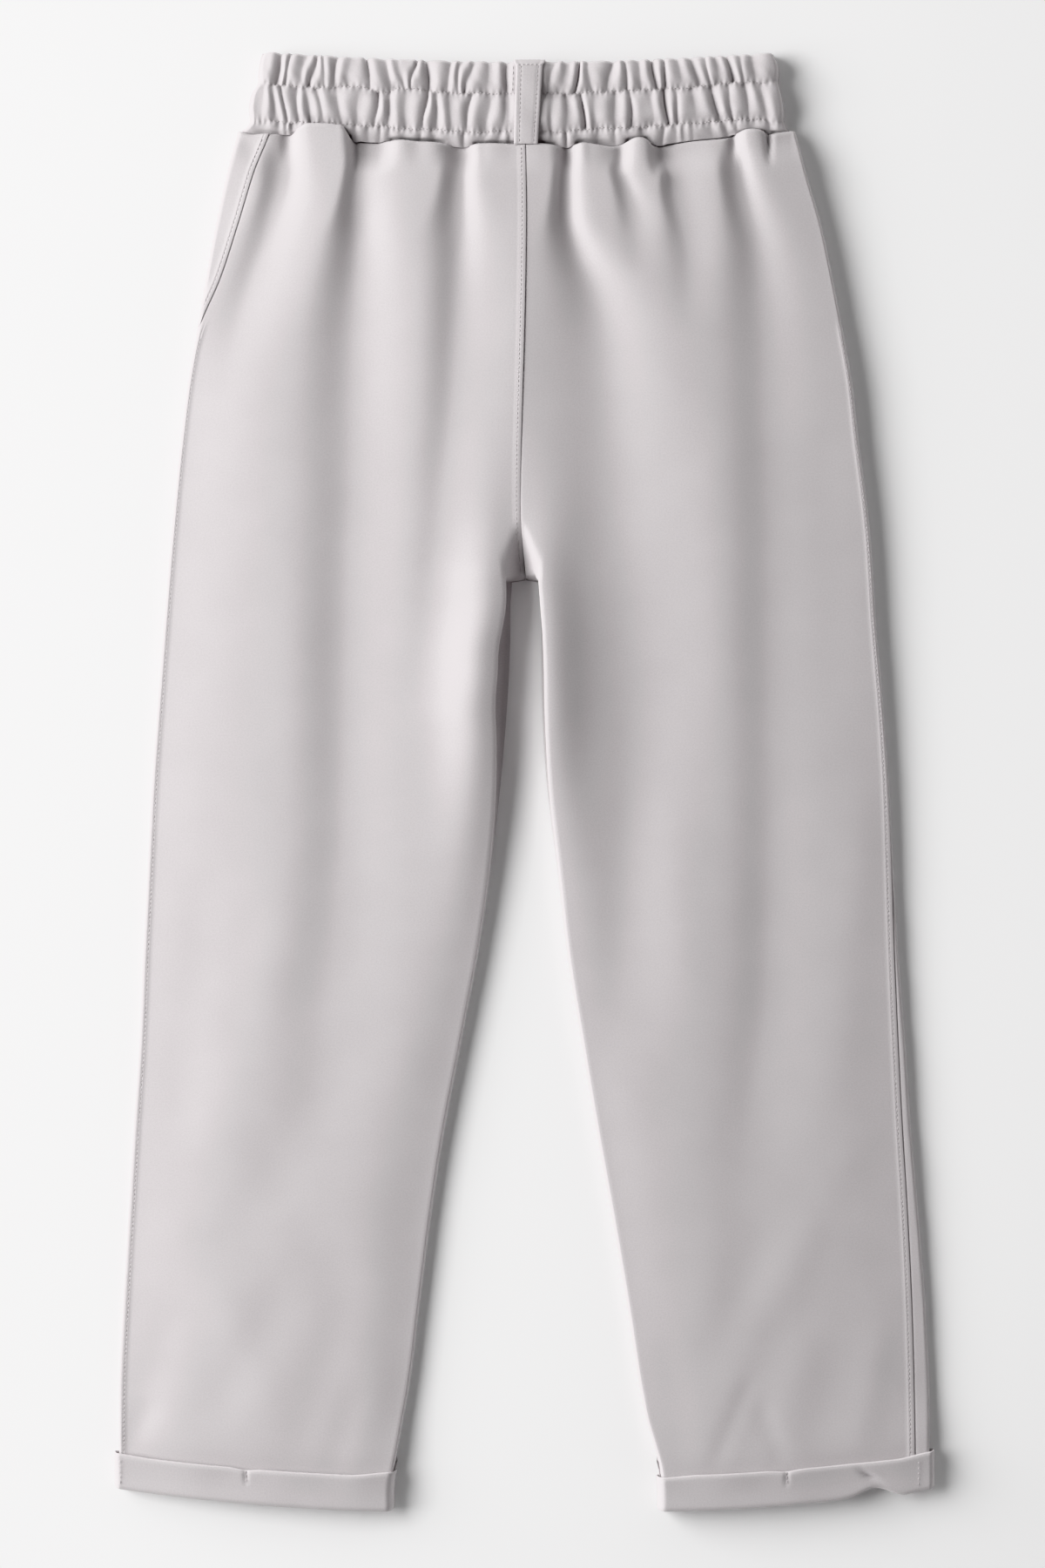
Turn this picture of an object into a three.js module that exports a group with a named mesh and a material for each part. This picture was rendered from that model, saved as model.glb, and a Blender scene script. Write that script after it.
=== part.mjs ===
// Pull-on knit trousers laid flat on their front, back upwards, with the waist towards +Y.
// The body is four leg panels and two pocket facings round one flattened tube, gathered onto an
// elasticated two-channel waistband. A belt loop sits on the centre back and both hems are turned up.
// Lengths are in millimetres. "up" is the distance up the garment from the lowest point of the hems,
// and "out" is the distance from the centre seam towards a side.
import * as THREE from "three";

const KNIT = 1.6; // thickness of the cloth
const BAND_WALL = 2.6; // casing cloth with the elastic in it
const SEAM_GAP = 0.3; // air left between two sewn pieces
const JOIN_UP = 926.5; // where the body meets the waistband, at the sides
const JOIN_SAG = 8; // how much lower that line runs at the centre back
const SAG_FADE = 90; // distance below the join over which the sag dies out
const HALF_WAIST = 190; // distance out at which the sag is nothing
const CROTCH_UP = 625;
const HEM_RISE = 16; // the hems slope up towards the sides by this much
const HEM_FADE = 150; // distance above the hem over which the slope dies out
const HEM_INSIDE = 92; // distance out at which the slope starts
const HEM_OUTSIDE = 275;
const TURN_UP = 26; // height of the turned-up band at each hem
const TURN_FOLD = 3; // how far the folded hem reaches back inside the leg
const TURN_FLARE = 1.2; // the turned-up band's free edge stands this far off the leg
const TURN_SLOPE = 14; // distance over which the leg rises onto it underneath
const TURN_GAP = 0.45; // air between the turned-up band and the leg inside it
const TURN_WALL = 2.6; // the turned-up band is doubled cloth
const UNDER_ROLL = 5; // radius of the lower half of a side's rolled edge
const RIDGE_ROLL = 8; // radius of a leg's inner edge
const FRONT_WRAP = 22; // length of the front panel's curved outer edge
const BRIDGE_HALF = 10.2; // half the width of the cloth between the legs at the crotch
const BRIDGE_TOP = 2 * KNIT + SEAM_GAP; // the back crotch lies straight on the front crotch
const BRIDGE_FROM = 672; // height at which the crotch hollow begins
const INSEAM_Z = 2.6; // height of the inseam above the ground
const INSEAM_FADE = 45; // distance below the crotch over which the edges turn up to meet
const INSEAM_LIFT = 0.6; // the inseam rises with the hem by this share
const JOIN_Z = 11.5; // height of the cloth where the body meets the waistband
const JOIN_RISE = 12; // distance over which the body swells up below the join
const POCKET_FOOT = 795; // lower end of the pocket mouth
const POCKET_DIP = 5; // the mouth starts this far round the edge at its foot
const POCKET_REACH = 44; // how far under the edge the pocket mouth starts at the waist
const COLOUR = { panel: 0xcfc8c6, band: 0xccc5c3, trim: 0xd2cbc9 };

// Turns rows of numbers into objects with named columns.
function table(columns, rows) {
  return rows.map((row) => Object.fromEntries(columns.map((name, i) => [name, row[i]])));
}

// Distances out to the left and right silhouette, and from the widest point of the edge up over it
// to the side seam, which is the pocket seam above the pocket's foot.
const SIDES = table(
  ["up", "left", "right", "leftSeam", "rightSeam"],
  [
    [0, 273, 272, 1, 12.5],
    [80, 273, 271.5, 1, 13],
    [138, 270.5, 269, 1, 12],
    [197, 267, 264.5, 1, 9.5],
    [255, 263.5, 259.5, 1, 7.5],
    [314, 259.5, 255.5, 1, 6],
    [372, 257, 251, 1, 4],
    [431, 254, 247.5, 1, 2.5],
    [489, 251, 244.5, 1, 1.5],
    [536, 247.5, 241, 1, 1],
    [594, 243, 236, 1, 1],
    [659, 237.5, 231.5, 1, 1],
    [723, 231, 223.5, 1, 1],
    [758, 226.5, 219.5, 1, 1],
    [789, 221, 214, 2, 1],
    [828, 214.5, 206.5, 12, 1],
    [863, 208, 199, 17, 1],
    [899, 200, 188.5, 20, 1],
    [927, 193, 181.5, 23, 1],
  ],
);

// Distances out to the inner edge of each leg.
const INSEAMS = table(
  ["up", "left", "right"],
  [
    [0, 90, 91],
    [31, 86, 87],
    [80, 78.5, 78.5],
    [138, 71, 68.5],
    [197, 63.5, 58.5],
    [255, 54.5, 48],
    [314, 43, 38],
    [372, 32, 28.5],
    [431, 23, 21.5],
    [489, 16.5, 14.5],
    [536, 12.5, 11.7],
    [571, 10.5, 11],
    [625, 10.4, 10],
  ],
);

// Height of the upper cloth between its folds, height of the widest point of the edge, and radius of
// the upper half of the rolled edge.
const SWELL = table(
  ["up", "crown", "edge", "roll"],
  [
    [0, 12.5, 5.2, 9],
    [140, 13, 5.2, 9],
    [300, 14, 5.4, 9.5],
    [430, 15, 5.6, 10],
    [560, 17, 6, 11],
    [650, 18.5, 6.4, 13],
    [760, 20, 6.8, 15],
    [880, 20.5, 6.8, 16],
    [927, 19, 6.5, 15],
  ],
);

// The troughs between the pleats that fall from the waistband, from left to right. x is measured
// from the centre seam, towards the right when positive.
const TROUGHS = [
  [
    [919, -155.6, 5.5, 8],
    [887, -164, 4.5, 10],
    [840, -177, 3, 14],
    [782, -193.5, 2, 16],
    [723, -200.5, 0, 16],
  ],
  [
    [919, -110, 8.5, 9],
    [887, -110, 7, 12],
    [840, -110, 6, 18],
    [752, -112, 5, 22],
    [665, -115, 5, 24],
    [548, -116.5, 4.5, 26],
    [454, -115, 4, 28],
    [360, -120.5, 2.5, 28],
    [290, -124.5, 0, 28],
  ],
  [
    [919, -40, 6, 9],
    [887, -39, 5, 11],
    [840, -41.5, 3.5, 13],
    [752, -42, 2, 14],
    [682, -47.5, 1.5, 14],
    [548, -65, 0, 14],
  ],
  [
    [919, 30, 9, 8],
    [863, 30, 8.5, 9],
    [834, 34.5, 6.5, 12],
    [793, 52, 5, 18],
    [723, 58, 5, 20],
    [653, 65, 5.5, 20],
    [583, 76.5, 5.5, 20],
    [501, 78.5, 4.5, 18],
    [419, 75.5, 3.5, 16],
    [355, 71, 2.5, 16],
    [290, 65, 0, 16],
  ],
  [
    [919, 68, 5, 8],
    [901, 71, 4, 9],
    [884, 76, 2, 9],
    [866, 81, 0, 9],
  ],
  [
    [919, 96.5, 6.5, 8],
    [887, 106, 4.5, 9],
    [846, 112.5, 2.5, 11],
    [799, 114.5, 0, 12],
  ],
  [
    [919, 150, 8, 8],
    [875, 152.5, 7, 10],
    [828, 159, 5.5, 14],
    [764, 161.5, 4, 18],
    [688, 169, 3, 18],
    [454, 176.5, 3, 18],
    [337, 179.5, 3, 20],
    [220, 168, 2.5, 22],
    [126, 134, 0, 22],
  ],
].map((rows) => table(["up", "x", "depth", "width"], rows.reverse()));

// Edges of the waistband by height above the join, with the swell of its two channels.
const BAND = table(
  ["rise", "left", "right", "top", "gather"],
  [
    [0, 189.5, 177.5, JOIN_Z, 1],
    [7.6, 185, 175, 12.6, 0.9],
    [16, 185, 174.8, 15.6, 1.7],
    [25, 184, 173.8, 15.8, 1.7],
    [33, 180.5, 171.8, 13.4, 0.9],
    [43.5, 179, 171.8, 16.2, 1.7],
    [53, 176.5, 168, 14.6, 1.2],
  ],
);
const BAND_TOP = BAND[BAND.length - 1].rise;
const BAND_EDGE = 6.2; // height of the waistband's widest point
const BAND_ROLL = 7;
const BAND_FRONT_ROWS = [0, 7.6, 33, BAND_TOP]; // heights of the front half's points above the join
const GATHERS = 33; // gathers across the back, and again across the front
const GATHER_POINTS = 4; // points across one gather
const GATHER_MIDDLE = 0.75; // depths of gathers as shares of the table's, around this one
const GATHER_SPREAD = 0.35;
const GATHER_DRIFT = 0.28; // a gather's place strays by this share of a gather
const GATHER_LEAN = 0.2; // and this much from one channel to the next
const GATHER_INSIDE = 0.5; // the elastic's inner face follows the gathers by this share
const GATHER_UNDER = 0.6; // gathers are this shallow where the band rests on the ground
const SIDE_PHASE = 0.02; // half of the air at the band's side joins, in gathers
const LOOP_WIDTH = 18;
const LOOP_TAPER = 1.6; // the loop is this much narrower at the join
const LOOP_WALL = 1.8;
const LOOP_CROWN = 0.5; // the loop's middle stands this far above its edges
const LOOP_CALM = 13; // the band lies without gathers this far either side of the loop
const LOOP_FADE = 6; // distance over which the gathers die out there
const LOOP_OUT = 3.8; // the loop's centre line lies this far right of the centre seam
const LOOP_LEAN = 2; // and this much less at the join
const LOOP_FOLD = 1.4; // the loop's top fold stands this far above the waistband's edge
const LOOP_DROP = 4.5; // and turns down by this much over it

const HALF_TURN = Math.PI / 2;
const clamp = (value, low, high) => Math.min(high, Math.max(low, value));
const mix = (a, b, share) => a + (b - a) * share;
const ease = (value) => {
  const t = clamp(value, 0, 1);
  return t * t * (3 - 2 * t);
};

// A smooth curve through one column of a table, read at `up`. The rows run upwards.
function read(rows, column, at, key = "up") {
  const last = rows.length - 1;
  if (at <= rows[0][key]) return rows[0][column];
  if (at >= rows[last][key]) return rows[last][column];
  const i = rows.findIndex((row) => row[key] > at) - 1;
  const slope = (k) => {
    const low = rows[Math.max(0, k - 1)];
    const high = rows[Math.min(last, k + 1)];
    return (high[column] - low[column]) / (high[key] - low[key]);
  };
  const span = rows[i + 1][key] - rows[i][key];
  const t = (at - rows[i][key]) / span;
  const bend = t * t * (3 - 2 * t);
  return (
    mix(rows[i][column], rows[i + 1][column], bend) +
    span * (slope(i) * t * (1 - t) ** 2 - slope(i + 1) * t * t * (1 - t))
  );
}

// The section of one side of the garment. side is -1 on the left and 1 on the right.
function section(side, up) {
  const name = side < 0 ? "left" : "right";
  return {
    side,
    up,
    out: read(SIDES, name, up),
    seam: read(SIDES, `${name}Seam`, up),
    inner: up > CROTCH_UP ? BRIDGE_HALF : read(INSEAMS, name, up),
    crown: read(SWELL, "crown", up),
    edge: read(SWELL, "edge", up),
    roll: read(SWELL, "roll", up),
  };
}

// Height of the upper face of the back cloth, away from the rolled edges.
function crownHeight(cut, x) {
  let height = cut.crown;
  for (const trough of TROUGHS) {
    const [foot, head] = [trough[0].up, trough[trough.length - 1].up];
    if (cut.up < foot) continue;
    const at = Math.min(cut.up, head);
    const reach = (x - read(trough, "x", at)) / read(trough, "width", at);
    height -= Math.max(0, read(trough, "depth", at)) * Math.exp(-reach * reach);
  }
  const swell = ease((JOIN_UP - cut.up) / JOIN_RISE);
  return mix(JOIN_Z, height, swell);
}

// How far the underside is lifted by the turned-up hem that lies beneath it.
function hemLift(up) {
  return (TURN_WALL + TURN_GAP) * ease((TURN_UP + 2 - up) / TURN_SLOPE + 1);
}

// Height of the inseam, which rises with the hem.
function inseamHeight(up) {
  return INSEAM_Z + INSEAM_LIFT * hemLift(up);
}

// A face point `arc` round from the widest point of a side: over the top when arc is positive, and
// underneath when it is negative. tilt is the angle of the face above the level.
function roundSide(cut, arc) {
  const radius = arc >= 0 ? cut.roll : UNDER_ROLL;
  const turn = Math.min(Math.abs(arc) / radius, HALF_TURN);
  const along = Math.max(0, Math.abs(arc) - radius * HALF_TURN);
  const out = cut.out - radius * (1 - Math.cos(turn)) - along;
  const low = hemLift(cut.up);
  const level = arc >= 0 ? crownHeight(cut, cut.side * out) : low;
  return {
    out,
    z: mix(cut.edge, level, Math.sin(turn)),
    across: Math.cos(turn),
    rise: arc >= 0 ? Math.sin(turn) : -Math.sin(turn),
  };
}

// The garment's slopes: the waist line sags at the centre back, and the hems climb towards the sides.
function warp(x, up) {
  const sag = JOIN_SAG * (1 - (x / HALF_WAIST) ** 2) * ease(1 - (JOIN_UP - up) / SAG_FADE);
  const reach = clamp((Math.abs(x) - HEM_INSIDE) / (HEM_OUTSIDE - HEM_INSIDE), 0, 1.1);
  return up - sag + HEM_RISE * reach ** 1.5 * ease(1 - up / HEM_FADE);
}

// A face point and the point `wall` behind it, both placed in the garment.
function pair(side, up, point, wall = KNIT) {
  const place = (out, z) => new THREE.Vector3(side * out, warp(side * out, up), z);
  return {
    face: place(point.out, point.z),
    back: place(point.out - wall * point.across, point.z - wall * point.rise),
  };
}

// How far the front's inner edge has turned up to meet the back's, from 0 at the crotch to 1.
function turning(up) {
  return ease((CROTCH_UP - 2 - up) / INSEAM_FADE);
}

// Heights of the rows of points that a leg panel is lofted through, from waist to hem.
const BODY_ROWS = [
  JOIN_UP - SEAM_GAP / 2,
  JOIN_UP - 5,
  JOIN_UP - 13,
  893,
  863,
  830,
  POCKET_FOOT,
  POCKET_FOOT - 0.6,
  755,
  710,
  672,
  645,
  CROTCH_UP,
];
const LEG_ROWS = [
  CROTCH_UP - 1.4, 604, 565, 500, 430, 350, 270, 190, 120, 70, 42, 22, TURN_FOLD + 2 * SEAM_GAP,
];
const PANEL_ROWS = [...BODY_ROWS, ...LEG_ROWS];

// Steps from a to b, both included.
function steps(a, b, count) {
  return Array.from({ length: count + 1 }, (_, i) => mix(a, b, i / count));
}

// The cloth between a back panel's flat middle and its centre seam or inseam: it turns down over the
// leg's inner edge, and above the crotch it runs on across the hollow between the legs.
function backInnerEdge(cut) {
  const above = cut.up >= CROTCH_UP;
  const hollow = above ? ease((BRIDGE_FROM - cut.up) / (BRIDGE_FROM - CROTCH_UP)) : 1;
  const floor = above ? BRIDGE_TOP : cut.edge;
  const turned = [60, 30, 0].map((degrees) => {
    const turn = THREE.MathUtils.degToRad(degrees);
    const out = cut.inner + RIDGE_ROLL * (1 - Math.cos(turn));
    const level = crownHeight(cut, cut.side * out);
    return {
      out,
      z: mix(level, mix(floor, level, Math.sin(turn)), hollow),
      across: -Math.cos(turn) * hollow * (above ? 0.6 : 1),
      rise: mix(1, Math.sin(turn), above ? hollow * 0.4 : 1),
    };
  });
  const level = crownHeight(cut, 0);
  const foot = mix(KNIT, inseamHeight(cut.up), turning(cut.up)) + SEAM_GAP / 2;
  const last = above
    ? { out: SEAM_GAP / 2, z: mix(level, BRIDGE_TOP, hollow), across: 0, rise: 1 }
    : { out: cut.inner, z: foot, across: -1, rise: 0 };
  return [...turned, last];
}

function backPanelRow(side, up) {
  const cut = section(side, up);
  const flatArc = cut.roll * HALF_TURN + 1;
  const rolled = steps(cut.seam + SEAM_GAP / 2, flatArc, 4).map((arc) => roundSide(cut, arc));
  const flat = steps(rolled[4].out, cut.inner + RIDGE_ROLL, 20).slice(1);
  const middle = flat.map((out) => ({ out, z: crownHeight(cut, side * out), across: 0, rise: 1 }));
  return [...rolled, ...middle, ...backInnerEdge(cut)].map((p) => pair(side, up, p));
}

// Distance round the side, from its widest point, to the edge of the front panel: the side seam, or
// the slanting pocket mouth on the underside.
function frontEdgeArc(cut) {
  if (cut.up < POCKET_FOOT) return cut.seam;
  const share = (cut.up - POCKET_FOOT) / (JOIN_UP - POCKET_FOOT);
  return mix(cut.seam - POCKET_DIP, -POCKET_REACH, share);
}

function frontPanelRow(side, up) {
  const cut = section(side, up);
  const start = frontEdgeArc(cut) - SEAM_GAP / 2;
  const outer = steps(start, start - FRONT_WRAP, 6).map((arc) => roundSide(cut, arc));
  const low = hemLift(up);
  const flat = steps(outer[6].out, cut.inner + UNDER_ROLL, 4).slice(1);
  const middle = flat.map((out) => ({ out, z: low, across: 0, rise: -1 }));
  const share = turning(up);
  const turned = [45, 10, 0].map((degrees, k) => {
    const turn = THREE.MathUtils.degToRad(degrees * share + 90 * (1 - share));
    return {
      out: cut.inner + mix(1 - k * 0.9, UNDER_ROLL * (1 - Math.cos(turn)), share),
      z: mix(low, mix(inseamHeight(up) - SEAM_GAP / 2, low, Math.sin(turn)), share),
      across: -Math.cos(turn) * share,
      rise: -mix(1, Math.sin(turn), share),
    };
  });
  if (up >= CROTCH_UP) turned[2] = { out: SEAM_GAP / 2, z: low, across: 0, rise: -1 };
  return [...outer, ...middle, ...turned].map((p) => pair(side, up, p));
}

function facingRow(side, up) {
  const cut = section(side, up);
  const arcs = steps(cut.seam - SEAM_GAP / 2, frontEdgeArc(cut) + SEAM_GAP / 2, 9);
  return arcs.map((arc) => pair(side, up, roundSide(cut, arc)));
}

// A closed geometry from its corner points and its faces, turned to face outwards.
function closedGeometry(points, triangles) {
  let volume = 0;
  for (const [a, b, c] of triangles) {
    volume += points[a].dot(new THREE.Vector3().crossVectors(points[b], points[c]));
  }
  const turned = volume < 0 ? triangles.map(([a, b, c]) => [a, c, b]) : triangles;
  const geometry = new THREE.BufferGeometry().setFromPoints(points);
  geometry.setIndex(turned.flat());
  geometry.computeVertexNormals();
  return geometry;
}

// The wall between a grid of face points and the grid behind it, closed along all four edges.
function clothWall(grid) {
  const rows = grid.length;
  const columns = grid[0].length;
  const points = [...grid.flat().map((p) => p.face), ...grid.flat().map((p) => p.back)];
  const half = rows * columns;
  const triangles = [];
  const quad = (a, b, c, d) => triangles.push([a, b, c], [a, c, d]);
  for (let r = 0; r < rows - 1; r++) {
    for (let c = 0; c < columns - 1; c++) {
      const at = r * columns + c;
      quad(at, at + 1, at + columns + 1, at + columns);
      quad(half + at, half + at + columns, half + at + columns + 1, half + at + 1);
    }
    const first = r * columns;
    const last = first + columns - 1;
    quad(first, first + columns, half + first + columns, half + first);
    quad(last, half + last, half + last + columns, last + columns);
  }
  for (let c = 0; c < columns - 1; c++) {
    const foot = (rows - 1) * columns + c;
    quad(c, half + c, half + c + 1, c + 1);
    quad(foot, foot + 1, half + foot + 1, half + foot);
  }
  return closedGeometry(points, triangles);
}

// A ring whose closed section is given at each step round it.
function clothRing(sections) {
  const count = sections[0].length;
  const triangles = [];
  sections.forEach((_, s) => {
    const next = (s + 1) % sections.length;
    for (let k = 0; k < count; k++) {
      const after = (k + 1) % count;
      const [a, b] = [s * count + k, s * count + after];
      const [c, d] = [next * count + after, next * count + k];
      triangles.push([a, b, c], [a, c, d]);
    }
  });
  return closedGeometry(sections.flat(), triangles);
}

// Height of the waistband's upper face with no gathers, and how deep its gathers are there.
function bandCut(rise) {
  const cut = {};
  for (const column of ["left", "right", "top", "gather"]) cut[column] = read(BAND, column, rise, "rise");
  return cut;
}

// One gather's size at a phase counted in gathers from the left edge. Neighbours differ in depth.
function gatherWave(phase) {
  const number = Math.floor(phase + 0.5);
  const size = GATHER_MIDDLE + GATHER_SPREAD * Math.sin(number * 2.3) * Math.cos(number * 0.9);
  return size * Math.cos(phase * 2 * Math.PI);
}

// A point of the waistband at a share of the way across it, over the top or underneath. The gathers
// lean a little from one channel to the next, and lie calm beneath the belt loop.
function bandPoint(rise, phase, over) {
  const cut = bandCut(rise);
  const arcs = (cut.left + cut.right - 2 * BAND_ROLL) + Math.PI * BAND_ROLL;
  const drift = GATHER_DRIFT * Math.sin(phase * 1.9) + GATHER_LEAN * Math.sin(phase * 0.8 + rise * 0.12);
  const arc = arcs * clamp((phase + drift) / GATHERS, 0, 1);
  const quarter = BAND_ROLL * HALF_TURN;
  const fromRight = arc > arcs / 2;
  const near = fromRight ? arcs - arc : arc;
  const turn = Math.min(near / BAND_ROLL, HALF_TURN);
  const inwards = BAND_ROLL * (1 - Math.cos(turn)) + Math.max(0, near - quarter);
  const x = fromRight ? cut.right - inwards : inwards - cut.left;
  const calm = over ? ease((Math.abs(x - LOOP_OUT) - LOOP_CALM) / LOOP_FADE + 0.5) : 1;
  const wave = cut.gather * gatherWave(phase) * calm;
  const level = over ? cut.top : 0;
  const under = GATHER_UNDER * Math.min(0, Math.max(0, wave) - cut.gather);
  const sideways = (fromRight ? 1 : -1) * Math.cos(turn);
  const vertical = Math.sin(turn) * (over ? 1 : -1);
  const z = mix(BAND_EDGE, level, Math.sin(turn));
  const up = JOIN_UP + SEAM_GAP / 2 + rise;
  const place = (deep) => {
    const px = x + sideways * deep;
    return new THREE.Vector3(px, warp(px, up), z + vertical * deep);
  };
  if (over) return { face: place(wave), back: place(wave * GATHER_INSIDE - BAND_WALL) };
  return { face: place(under), back: place(-BAND_WALL) };
}

function bandHalf(over) {
  const rises = over ? BAND.map((row) => row.rise) : BAND_FRONT_ROWS;
  const phases = steps(0, GATHERS, GATHERS * GATHER_POINTS);
  phases[0] = SIDE_PHASE;
  phases[phases.length - 1] = GATHERS - SIDE_PHASE;
  return clothWall(rises.map((rise) => phases.map((phase) => bandPoint(rise, phase, over))));
}

// The belt loop lies over the calm part of the band, and its ends turn down at the band's edges.
function beltLoop() {
  const shares = steps(-1, 1, 4);
  const row = (rise, reach = 0, drop = 0) => {
    const below = 1 - rise / BAND_TOP;
    const half = (LOOP_WIDTH - LOOP_TAPER * below) / 2;
    return shares.map((share) => {
      const x = LOOP_OUT - LOOP_LEAN * below + share * half;
      const up = warp(x, JOIN_UP + rise);
      const level = bandCut(rise).top + SEAM_GAP + LOOP_WALL + LOOP_CROWN * (1 - share * share) - drop;
      const face = new THREE.Vector3(x, up + reach, level);
      return { face, back: new THREE.Vector3(x, up - reach / 3, level - LOOP_WALL) };
    });
  };
  const along = [SEAM_GAP, ...BAND.slice(1, -1).map((cut) => cut.rise), BAND_TOP - 2];
  const fold = BAND_TOP + LOOP_FOLD;
  return clothWall([...along.map((rise) => row(rise)), row(fold, LOOP_FOLD), row(fold, LOOP_FOLD, LOOP_DROP)]);
}

// Stations round a leg at the hem: distances out along the top, then back underneath.
function hemLoop(cut) {
  const turned = (from, to, count, at) =>
    steps(from, to, count).map((degrees) => at(THREE.MathUtils.degToRad(degrees)));
  const low = hemLift(cut.up);
  const top = (out) => crownHeight(cut, cut.side * out);
  const outerTop = turned(0, 90, 4, (a) => {
    const out = cut.out - cut.roll * (1 - Math.cos(a));
    return { out, z: mix(cut.edge, top(out), Math.sin(a)), across: Math.cos(a), rise: Math.sin(a) };
  });
  const innerTop = turned(90, 0, 3, (a) => {
    const out = cut.inner + RIDGE_ROLL * (1 - Math.cos(a));
    return { out, z: mix(cut.edge, top(out), Math.sin(a)), across: -Math.cos(a), rise: Math.sin(a) };
  });
  const innerLow = turned(0, 90, 2, (a) => {
    const out = cut.inner + UNDER_ROLL * (1 - Math.cos(a));
    const z = mix(inseamHeight(cut.up), low, Math.sin(a));
    return { out, z, across: -Math.cos(a), rise: -Math.sin(a) };
  });
  const outerLow = turned(90, 30, 2, (a) => {
    const out = cut.out - UNDER_ROLL * (1 - Math.cos(a));
    return { out, z: mix(cut.edge, low, Math.sin(a)), across: Math.cos(a), rise: -Math.sin(a) };
  });
  const level = (from, to, count, z, rise) =>
    steps(from, to, count).slice(1, -1).map((out) => ({ out, z: z(out), across: 0, rise }));
  return [
    ...outerTop,
    ...level(outerTop[4].out, innerTop[0].out, 8, top, 1),
    ...innerTop,
    ...innerLow,
    ...level(innerLow[2].out, outerLow[0].out, 3, () => low, -1),
    ...outerLow,
  ];
}

// The turned-up hem: one fold of cloth round the leg's end, with its free edge standing a little off.
// Each profile row is the distance off the leg's face and the height up it.
function turnUp(side) {
  const outside = TURN_GAP + TURN_WALL;
  const bend = TURN_UP / 2;
  const profile = [
    [outside + TURN_FLARE, TURN_UP],
    [outside, bend],
    [outside, 2],
    [outside / 2, SEAM_GAP],
    [-KNIT / 2, SEAM_GAP],
    [-KNIT, TURN_FOLD / 2],
    [-KNIT, TURN_FOLD],
    [TURN_GAP, TURN_FOLD],
    [TURN_GAP, bend],
    [TURN_GAP + TURN_FLARE, TURN_UP],
  ];
  const loops = profile.map(([, up]) => hemLoop(section(side, up)));
  const lowest = hemLift(0);
  return clothRing(
    loops[0].map((_, station) =>
      profile.map(([stand, up], k) => {
        const p = loops[k][station];
        const off = p.rise < 0 ? Math.min(stand, lowest) : stand;
        const out = p.out + p.across * stand;
        return new THREE.Vector3(side * out, warp(side * out, up), p.z + p.rise * off);
      }),
    ),
  );
}

function cloth(name, geometry, colour) {
  const material = new THREE.MeshStandardMaterial({ color: colour, roughness: 0.9, metalness: 0 });
  const mesh = new THREE.Mesh(geometry, material);
  mesh.name = name;
  return mesh;
}

const trousers = new THREE.Group();
for (const [side, name] of [
  [-1, "left"],
  [1, "right"],
]) {
  const facingRows = BODY_ROWS.filter((up) => up >= POCKET_FOOT);
  trousers.add(
    cloth(`back_panel_${name}`, clothWall(PANEL_ROWS.map((up) => backPanelRow(side, up))), COLOUR.panel),
    cloth(`front_panel_${name}`, clothWall(PANEL_ROWS.map((up) => frontPanelRow(side, up))), COLOUR.panel),
    cloth(`pocket_facing_${name}`, clothWall(facingRows.map((up) => facingRow(side, up))), COLOUR.panel),
    cloth(`turn_up_${name}`, turnUp(side), COLOUR.trim),
  );
}
trousers.add(
  cloth("waistband_back", bandHalf(true), COLOUR.band),
  cloth("waistband_front", bandHalf(false), COLOUR.band),
  cloth("belt_loop_back", beltLoop(), COLOUR.trim),
);

// The origin is under the middle of the garment, on the surface that it lies on.
const extent = new THREE.Box3().setFromObject(trousers);
const middle = extent.getCenter(new THREE.Vector3());
trousers.position.set(-middle.x, -middle.y, -extent.min.z);

export default trousers;
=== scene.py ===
"""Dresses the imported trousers: pull-on knit trousers laid flat on their front, seen from above.

Every cloth piece is a thin shell worked out from the garment's own sections and folds, and each
stands for the plain solid of the same name. Lengths are in millimetres until a mesh is written.
"up" runs up the garment from the lowest point of the hems, "out" runs from the centre seam towards
a side, and x is the same distance with its sign, towards the right when positive.
"""

from __future__ import annotations

import logging
import math
from dataclasses import dataclass, field
from enum import Enum
from typing import Callable

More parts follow.
